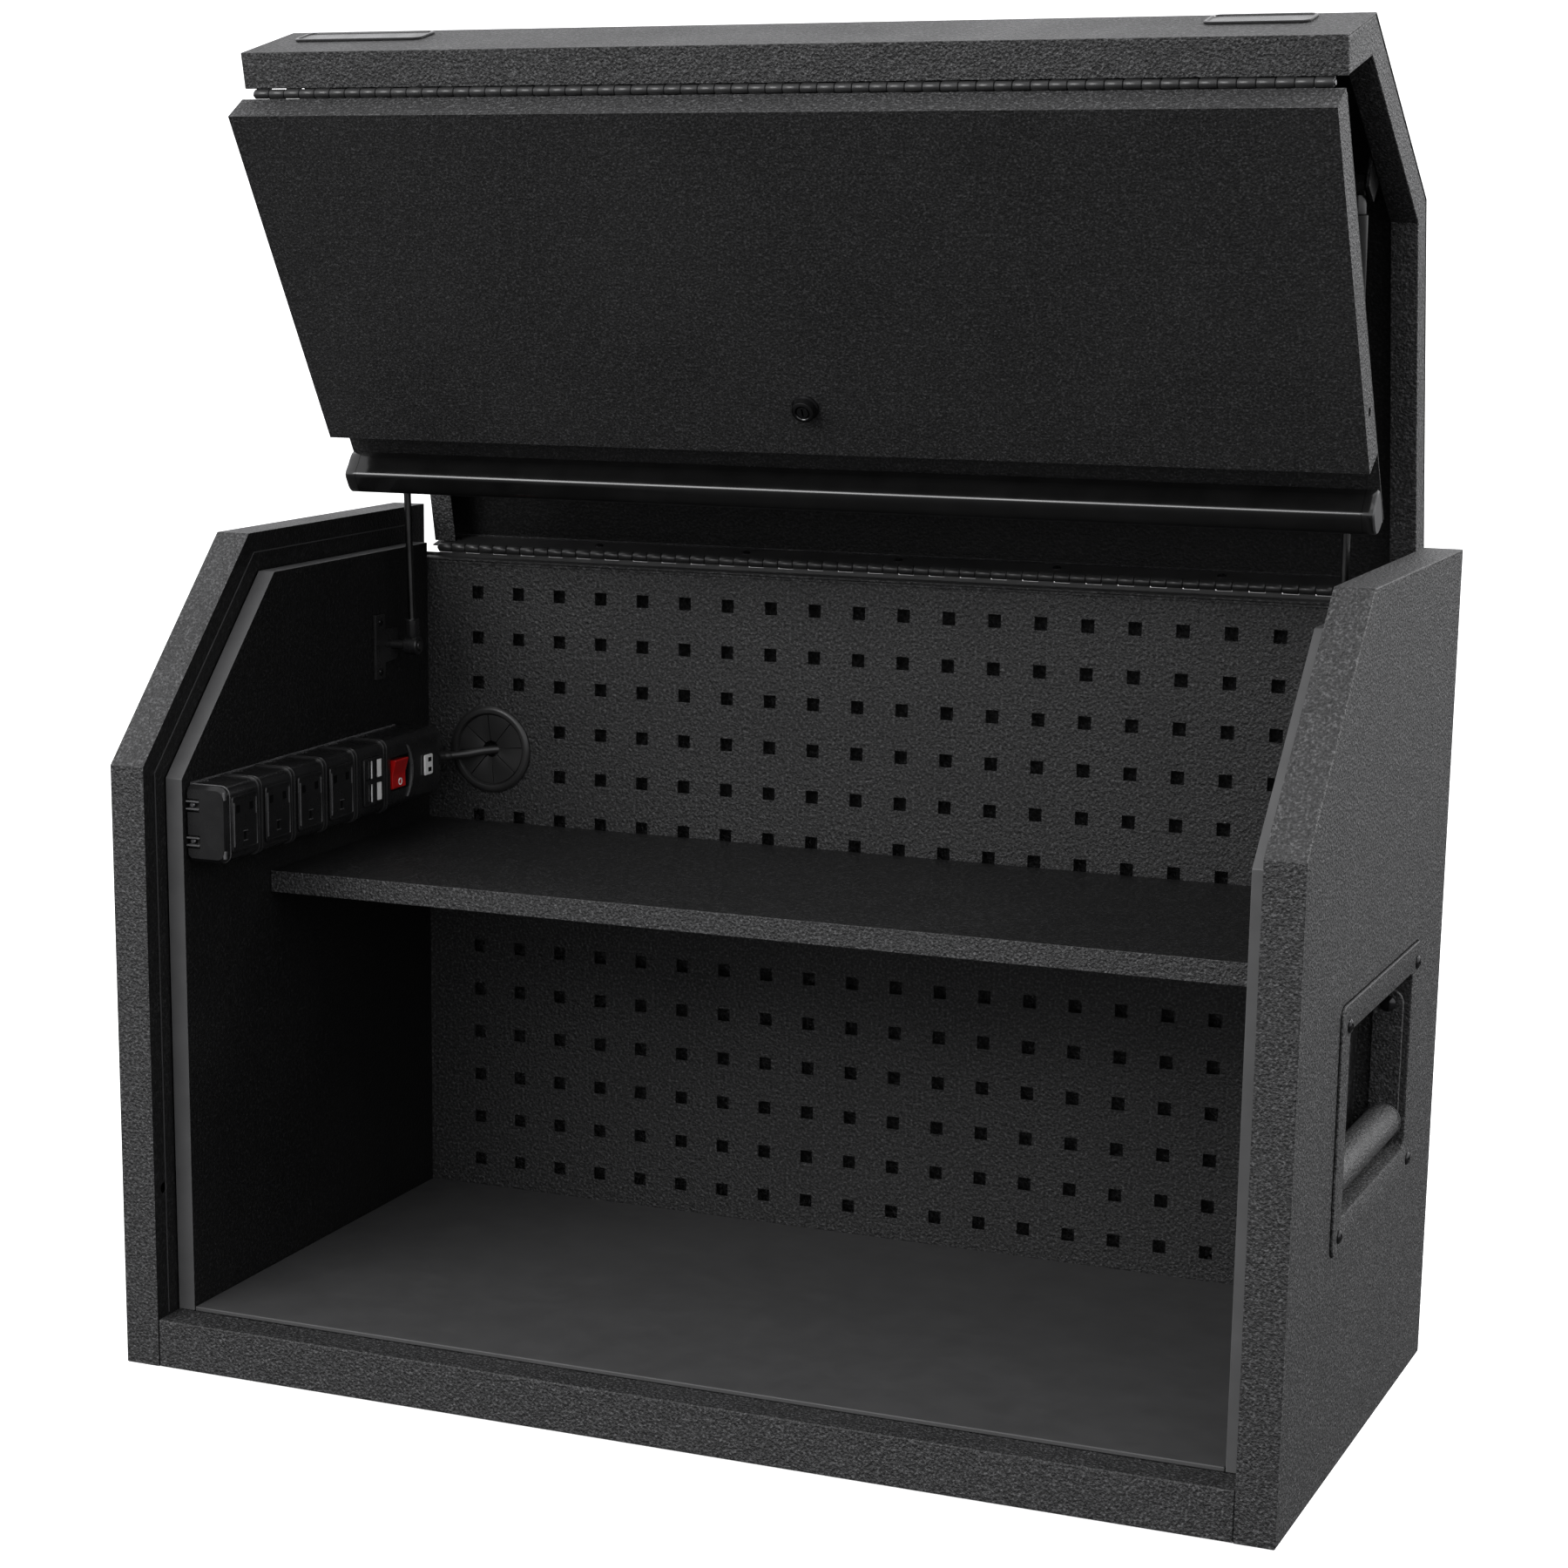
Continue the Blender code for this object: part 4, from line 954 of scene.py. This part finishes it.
def strut(side):
    """The rod below and the gas tube above, drawn upright from the lower stud."""
    place, rod, tube = side + "_strut", side + "_rod", side + "_tube"
    length = math.dist(STRUT_LOW, STRUT_HIGH)
    work = bmesh.new()
    turned(work, (0.0, 0.0), [(0.014, 0.003), (length * 0.46, 0.003)], "z", 20)
    finish_piece(rod + "_shaft", work, ROD, rod, place, replaces=(side + "_strut_rod",))
    end_fitting(rod + "_socket", rod, place, 0.0, 1, 0.0046)
    low, top = length * 0.43, length - 0.02
    profile = [(low, 0.0034), (low, 0.0066), (low + 0.0012, 0.0075), (top - 0.0012, 0.0075), (top, 0.0064)]
    work = bmesh.new()
    turned(work, (0.0, 0.0), profile, "z", 32)
    name = side + "_gas_tube"
    finish_piece(name, work, GLOSS, tube, place, replaces=(side + "_strut_tube",))
    end_fitting(tube + "_socket", tube, place, length, -1, 0.0056)


def strut_brackets(side, sign):
    """The lower bracket is a hat-shaped plate with a stud and two screws."""
    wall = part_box("right_inner_panel")[0].x - GAP
    y, z = STRUT_LOW
    upper = [(-0.029, 0.027), (-0.013, 0.027), (-0.012, 0.014), (0.008, 0.013), (0.01, 0.01)]
    hat = [(y + a, z + b) for a, b in upper + [(a, -b) for a, b in upper[::-1]]]
    stud = [(sign * 0.3818, 0.0032), (sign * 0.3826, 0.004), (sign * (wall - 0.002), 0.004)]
    work = bmesh.new()
    prism(work, hat, sign * (wall - 0.0025), sign * wall)
    turned(work, STRUT_LOW, stud, "x", 20)
    bracket = side + "_strut_lower_bracket"
    finish_piece(bracket + "_plate", work, BRACKET, bevel=0.0004, replaces=(bracket,))
    spots = [(sign * (wall - 0.0025), y - 0.0206, z + step) for step in (-0.0211, 0.0204)]
    screws(side + "_bracket_screws", spots, (-sign, 0, 0), 0.0032, height=0.0014)
    # The upper bracket takes the darker copy of the paint: painted shade.
    softened(side + "_strut_upper_bracket", 0.0004, POWDER_PAINTED_SHADE)


# Power strip

SEGMENT = 0.0503                # one outlet of the strip
SEGMENT_START = 0.0595 - 0.5 * SEGMENT
SEGMENTS = 6
LUG_LEVELS = (STRIP_MIDDLE - 0.014, STRIP_MIDDLE + 0.014)
CREST_CENTRE = 0.316


def strip_profile(grow=0.0):
    """Section of the strip in x and z: a flat back, round shoulders and a flat face."""
    back = STRIP_LOW.x + 0.0002
    face = FACE - 0.0004 + grow
    low, high = STRIP_LOW.z - grow, STRIP_HIGH.z + grow
    shoulder = 0.0075
    points = [(back, low + 0.003), (back + 0.003, low)]
    for z, start in ((low + shoulder, -90), (high - shoulder, 0)):
        for i in range(7):
            angle = math.radians(start + 15 * i)
            points.append((face - shoulder + shoulder * math.cos(angle), z + shoulder * math.sin(angle)))
    return points + [(back + 0.003, high), (back, high - 0.003)]


def strip_shell():
    near, far = STRIP_LOW.y, STRIP_HIGH.y
    outline = strip_profile()
    centre = Vector(((STRIP_LOW.x + FACE) / 2, STRIP_MIDDLE))
    small, round_end = ([tuple(centre + (Vector(point) - centre) * share) for point in outline]
                        for share in (0.9, 0.97))
    ends = ((small, near + 0.0006), (outline, near + 0.004), (outline, far - 0.012),
            (round_end, far - 0.005), (small, far - 0.0004))
    work = bmesh.new()
    skin(work, [[(a, t, b) for a, b in ring] for ring, t in ends])
    shell = finish_piece("strip_shell", work, PLASTIC, replaces=("power_strip_body",))
    hollows = bmesh.new()
    box(hollows, (FACE - 0.0092, 0.296, STRIP_MIDDLE - 0.014),
        (FACE + 0.003, 0.3275, STRIP_MIDDLE + 0.014))
    for z in LUG_LEVELS:
        box(hollows, (STRIP_LOW.x - 0.001, near - 0.002, z - 0.0052),
            (STRIP_LOW.x + 0.0125, near + 0.0062, z + 0.0052))
    carve(shell, hollows)


def strip_ribs():
    work = bmesh.new()
    for i in range(1, SEGMENTS):
        for step in (-0.003, 0.0018):
            start = SEGMENT_START + SEGMENT * i + step
            prism(work, strip_profile(0.0009), start, start + 0.0012, "y")
    # The ribs take a lighter copy of the plastic: painted highlight.
    finish_piece("strip_rib_rows", work, PLASTIC_RIB_HIGHLIGHT, bevel=0.0003)


def strip_near_end():
    """Two mounting lugs and their screws in the end's pockets, clips at the corners, and a rim."""
    near = STRIP_LOW.y
    work = bmesh.new()
    for z in LUG_LEVELS:
        for shelf in (-0.0034, 0.0024):
            box(work, (STRIP_LOW.x + 0.0006, near + 0.0004, z + shelf),
                (STRIP_LOW.x + 0.012, near + 0.006, z + shelf + 0.0011))
    for z in (STRIP_LOW.z + 0.007, STRIP_HIGH.z - 0.007):
        box(work, (FACE - 0.003, near + 0.0006, z - 0.003), (FACE - 0.0008, near + 0.003, z + 0.003))
    # Lugs and clips in a much lighter copy of the plastic: painted highlight.
    finish_piece("strip_lugs", work, PLASTIC_EDGE_HIGHLIGHT, bevel=0.0002)
    work = bmesh.new()
    prism(work, strip_profile(0.0004), near + 0.0066, near + 0.0078, "y")
    # The end rim also takes painted highlight.
    finish_piece("strip_end_rim", work, PLASTIC_EDGE_HIGHLIGHT, bevel=0.0002)
    work = bmesh.new()
    for z in LUG_LEVELS:
        stud = [(near + 0.006, 0.0022), (near + 0.0036, 0.0022), (near + 0.0028, 0.0014)]
        turned(work, (STRIP_LOW.x + 0.0045, z), stud, "y", 16)
    finish_piece("strip_mount_screws", work, STEEL)


def strip_top():
    """A curved mark on top of each segment, and the edge of the mount behind the strip."""
    top = STRIP_HIGH.z
    angles = [math.radians(200 + 17.5 * k) for k in range(9)]
    work = bmesh.new()
    for i in range(SEGMENTS):
        middle = SEGMENT_START + SEGMENT * i + 0.014
        arc = [(middle + 0.0095 * math.cos(angle), 0.0082 * math.sin(angle)) for angle in angles]
        for (start, side), (end, next_side) in zip(arc, arc[1:]):
            x = STRIP_LOW.x + 0.0105 + (side + next_side) / 2
            box(work, (x - 0.0005, start, top - 0.0002), (x + 0.0005, end, top + 0.0003))
    # The marks in a much lighter copy of the plastic: painted highlight.
    finish_piece("strip_top_marks", work, PLASTIC_EDGE_HIGHLIGHT)
    work = bmesh.new()
    box(work, (STRIP_LOW.x + 0.0001, STRIP_LOW.y + 0.008, top - 0.003),
        (STRIP_LOW.x + 0.0012, STRIP_HIGH.y - 0.02, top + 0.0008))
    # The mount's edge also takes painted highlight.
    finish_piece("strip_mount_edge", work, PLASTIC_EDGE_HIGHLIGHT, bevel=0.0002)


def raised_plate(low, high, radius, levels, shrink=0.0):
    """A low plate on the strip's face, drawn in by each level's inset at its height."""
    loops = []
    for inset, out in levels:
        corners = (low[0] + inset, low[1] + inset), (high[0] - inset, high[1] - inset)
        loops.append([(FACE + out, a, b) for a, b in rounded(*corners, radius - shrink * inset, 3)])
    work = bmesh.new()
    skin(work, loops)
    return work


PIN_HOLES = [                   # place along and up from the middle, half sizes
    (0.0, -0.0105, 0.002, 0.004), (-0.01, 0.011, 0.003, 0.003), (0.01, 0.011, 0.003, 0.003),
]


def socket(node, middle):
    """A British outlet mounted upside down: two small holes above an upright one, a raised left edge."""
    levels = ((0.0, 0.0003), (0.0, 0.0012), (0.0006, 0.0018), (0.0016, 0.0018), (0.002, 0.0012))
    low, high = (middle - 0.0192, STRIP_MIDDLE - 0.0215), (middle + 0.0192, STRIP_MIDDLE + 0.0215)
    work = raised_plate(low, high, 0.003, levels, 1.0)
    plate = finish_piece(node + "_face", work, PLASTIC, replaces=(node,))
    holes = bmesh.new()
    shutters = bmesh.new()
    for a, b, wide, tall in PIN_HOLES:
        y, z = middle + a, STRIP_MIDDLE + b
        box(holes, (FACE - 0.003, y - wide, z - tall), (FACE + 0.005, y + wide, z + tall))
        wide, tall = wide - 0.0001, tall - 0.0001
        box(shutters, (FACE + 0.0001, y - wide, z - tall), (FACE + 0.0004, y + wide, z + tall))
    carve(plate, holes)
    finish_piece(node + "_shutters", shutters, PLASTIC_DARK)
    work = bmesh.new()
    left, right = middle - 0.0178, middle + 0.016
    high = STRIP_MIDDLE + 0.0168
    box(work, (FACE + 0.0011, left, STRIP_MIDDLE - 0.0172), (FACE + 0.0024, left + 0.0013, high))
    for z in (STRIP_MIDDLE - 0.0146, STRIP_MIDDLE - 0.0072):
        box(work, (FACE + 0.0011, middle - 0.003, z), (FACE + 0.002, middle + 0.003, z + 0.0005))
    box(work, (FACE + 0.0011, right, STRIP_MIDDLE + 0.004), (FACE + 0.002, right + 0.0006, high))
    # The raised edge bars in a much lighter copy of the plastic: painted highlight.
    finish_piece(node + "_edge_bar", work, PLASTIC_EDGE_HIGHLIGHT, bevel=0.0002)


def usb_block():
    middle = STRIP_MIDDLE
    levels = ((0.0, 0.0003), (0.0, 0.0014), (0.0005, 0.0019))
    work = raised_plate((0.247, middle - 0.0195), (0.28, middle + 0.0195), 0.002, levels)
    plate = finish_piece("usb_plate", work, PLASTIC, replaces=("usb_block",))
    holes = bmesh.new()
    tongues = bmesh.new()
    for y, lit in ((0.256, 0.0007), (0.2715, 0.0062)):
        for z in (middle - 0.0096, middle + 0.0096):
            box(holes, (FACE - 0.002, y - 0.006, z - 0.0078), (FACE + 0.004, y + 0.006, z + 0.0078))
            end = y + 0.0056
            box(tongues, (FACE + 0.0004, end - lit, z - 0.0072), (FACE + 0.0012, end, z + 0.0072))
    carve(plate, holes)
    finish_piece("usb_tongues", tongues, WHITE)


def rocker():
    middle = STRIP_MIDDLE
    shape = [(-0.0065, -0.011), (-0.0002, -0.0126), (0.001, -0.0118), (0.0006, -0.002), (0.001, 0.001),
             (0.004, 0.0112), (0.0032, 0.0122), (-0.0065, 0.011)]
    work = bmesh.new()
    prism(work, [(FACE + a, middle + b) for a, b in shape], 0.2972, 0.3195, "y")
    finish_piece("rocker_cap", work, RED, "rocker", bevel=0.0005, replaces=("rocker_switch",))
    mark = [(0.0006, 0.003), (0.0012, 0.003), (0.0012, 0.0021), (0.0006, 0.0021)]
    work = bmesh.new()
    turned(work, (0.31, middle - 0.0072), [(FACE + t, radius) for t, radius in mark], "x", 20, closed=True)
    finish_piece("rocker_mark", work, WHITE, "rocker")


def surge_module():
    middle = STRIP_MIDDLE
    levels = ((0.0, 0.0003), (0.0, 0.0012), (0.0004, 0.0016))
    work = raised_plate((0.353, middle - 0.009), (0.367, middle + 0.008), 0.0012, levels)
    finish_piece("surge_module", work, WHITE, replaces=("surge_indicator",))
    work = bmesh.new()
    for z in (middle - 0.0042, middle + 0.0042):
        box(work, (FACE + 0.0015, 0.3585, z - 0.0022), (FACE + 0.0018, 0.364, z + 0.0014))
    finish_piece("surge_windows", work, PLASTIC_DARK)


def strip_crest():
    """The bowed ridge between the rocker and the small module, thickest at its middle."""
    steps = 12
    work = bmesh.new()
    for k in range(steps):
        start, end = (math.radians(-62 + 124 * (k + step) / steps) for step in (0, 1))
        spots = [(CREST_CENTRE + radius * math.cos(angle), STRIP_MIDDLE + 0.0245 * math.sin(angle))
                 for angle in (start, end) for radius in (0.0142, 0.0142 + 0.003 * math.cos(angle))]
        prism(work, [spots[0], spots[1], spots[3], spots[2]], FACE - 0.001, FACE + 0.0012)
    # The ridge in a much lighter copy of the plastic: painted highlight.
    finish_piece("strip_crest", work, PLASTIC_EDGE_HIGHLIGHT, bevel=0.0002)


def power_strip():
    strip_shell()
    strip_ribs()
    strip_near_end()
    strip_top()
    for i in range(4):
        socket(f"socket_{i + 1}", SEGMENT_START + SEGMENT * (i + 0.5))
    usb_block()
    rocker()
    surge_module()
    strip_crest()
    far = STRIP_HIGH.y
    gland = [(far + 0.0003, 0.008), (far + 0.0018, 0.008), (far + 0.0038, 0.006), (far + 0.0039, 0.005),
             (far + 0.0003, 0.005)]
    work = bmesh.new()
    turned(work, (CORD_ROUTE[0][0], CORD_ROUTE[0][2]), gland, "y", 28, closed=True)
    finish_piece("strip_cord_gland", work, RUBBER, replaces=("cord_gland",))


# Side handles

def handle_plate(side, sign, tub_low, tub_high):
    """A pressed plate with a round-edged mouth and the tub behind it, as one sheet."""
    outer, face = HALF_WIDTH + GAP, HALF_WIDTH + 0.002
    floor = HALF_WIDTH - 0.0395
    plate = (PLATE_EDGE[:2], PLATE_EDGE[2:], 0.009)
    mouth = ([value + SHEET for value in tub_low], [value - SHEET for value in tub_high], 0.006)
    tub = (tub_low, tub_high, 0.0075)

    def ring(shape, grow, depth):
        low, high, radius = shape
        points = rounded((low[0] - grow, low[1] - grow), (high[0] + grow, high[1] + grow), radius + grow, 6)
        return [(sign * depth, a, b) for a, b in points]

    work = bmesh.new()
    skin(work, [
        ring(plate, 0.0, outer), ring(plate, 0.0, face - 0.0006), ring(plate, -0.0006, face),
        ring(mouth, 0.0012, face), ring(mouth, 0.0003, face - 0.0004), ring(mouth, 0.0, face - 0.0014),
        ring(mouth, 0.0, floor + SHEET + 0.001), ring(mouth, -0.001, floor + SHEET),
    ], cap_start=False)
    skin(work, [ring(plate, 0.0, outer), ring(tub, 0.0, outer), ring(tub, 0.0, floor)], cap_start=False)
    bmesh.ops.remove_doubles(work, verts=work.verts, dist=0.00001)
    name = side + "_handle_pocket"
    piece = finish_piece(name + "_pressed", work, POWDER, replaces=(name,))
    # Faces inside the wall take the darker inside copy of the paint: painted shade in the tub.
    piece.data.materials.append(POWDER_INSIDE_SHADE)
    for polygon in piece.data.polygons:
        polygon.material_index = int(abs((PLACES["root"] @ polygon.center).x) < HALF_WIDTH - 0.0005)
    # A thin dark ring round the plate's edge: painted shadow in the gap under the plate.
    work = bmesh.new()
    corners = ((0.0011, -0.0001), (0.0011, 0.0001), (0.0, 0.0001), (0.0, -0.0001))
    skin(work, [ring(plate, grow, outer + out) for grow, out in corners], closed=True)
    finish_piece(side + "_handle_gasket", work, PLASTIC_DARK)
    spots = [(sign * face, a, b) for a, b in PLATE_SCREWS]
    screws(side + "_handle_screws", spots, (sign, 0, 0), 0.005, height=0.0024)


def bail(side, sign, near, far):
    """Two flat arms with round ends, a thick round grip between them, and a rivet at each pivot."""
    name = side + "_bail"
    half = 0.0112
    arm = []
    for centre, start in ((BAIL_AXIS, 0), (GRIP_CENTRE, 180)):
        for i in range(13):
            angle = math.radians(start + 15 * i)
            arm.append((sign * (centre[0] + half * math.cos(angle)), centre[1] + half * math.sin(angle)))
    work = bmesh.new()
    for start in (near, far - 0.004):
        prism(work, arm, start, start + 0.004, "y")
    finish_piece(name + "_arms", work, POWDER, name, bevel=0.0006)
    centre = (sign * GRIP_CENTRE[0], GRIP_CENTRE[1])
    low, high = near + 0.0042, far - 0.0042
    steps = ((0.0, 0.012), (0.0008, 0.0138), (0.0026, 0.014), (0.0034, 0.0132), (0.007, 0.0136))
    profile = [(low + t, radius) for t, radius in steps] + [(high - t, radius) for t, radius in steps[::-1]]
    work = bmesh.new()
    turned(work, centre, profile, "y", 40)
    finish_piece(name + "_grip", work, POWDER, name, replaces=(name,))
    work = bmesh.new()
    for start in (low + 0.0008, high - 0.002):
        hoop = [(start, 0.012), (start, 0.0145), (start + 0.0012, 0.0145), (start + 0.0012, 0.012)]
        turned(work, centre, hoop, "y", 40, closed=True)
    finish_piece(name + "_end_rings", work, RIM, name, bevel=0.0002)
    rivet = [(-0.0062, 0.003), (0.0, 0.003), (0.0, 0.0062), (0.0012, 0.006), (0.0026, 0.004)]
    work = bmesh.new()
    for start, sense in ((low, 1), (high, -1)):
        pivot = (sign * BAIL_AXIS[0], BAIL_AXIS[1])
        turned(work, pivot, [(start + sense * t, radius) for t, radius in rivet], "y", 24)
    finish_piece(name + "_rivets", work, SCREW)


def side_handles():
    tub_low = [value + GAP for value in POCKET_OPENING[:2]]
    tub_high = [value - GAP for value in POCKET_OPENING[2:]]
    for side, sign in (("left", -1), ("right", 1)):
        handle_plate(side, sign, tub_low, tub_high)
        bail(side, sign, tub_low[0] + 0.0037, tub_high[0] - 0.0037)


add_camera()
add_floor()
add_sky()
add_lights()
mains_cord()
carcass()
recess_seams()
back_rail()
grommet()
rear_grommet()
hinges()
lid()
blank_badges()
front_panel()
handle_rail()
lock()
for strut_side, strut_sign in (("left", -1), ("right", 1)):
    strut(strut_side)
    strut_brackets(strut_side, strut_sign)
power_strip()
side_handles()
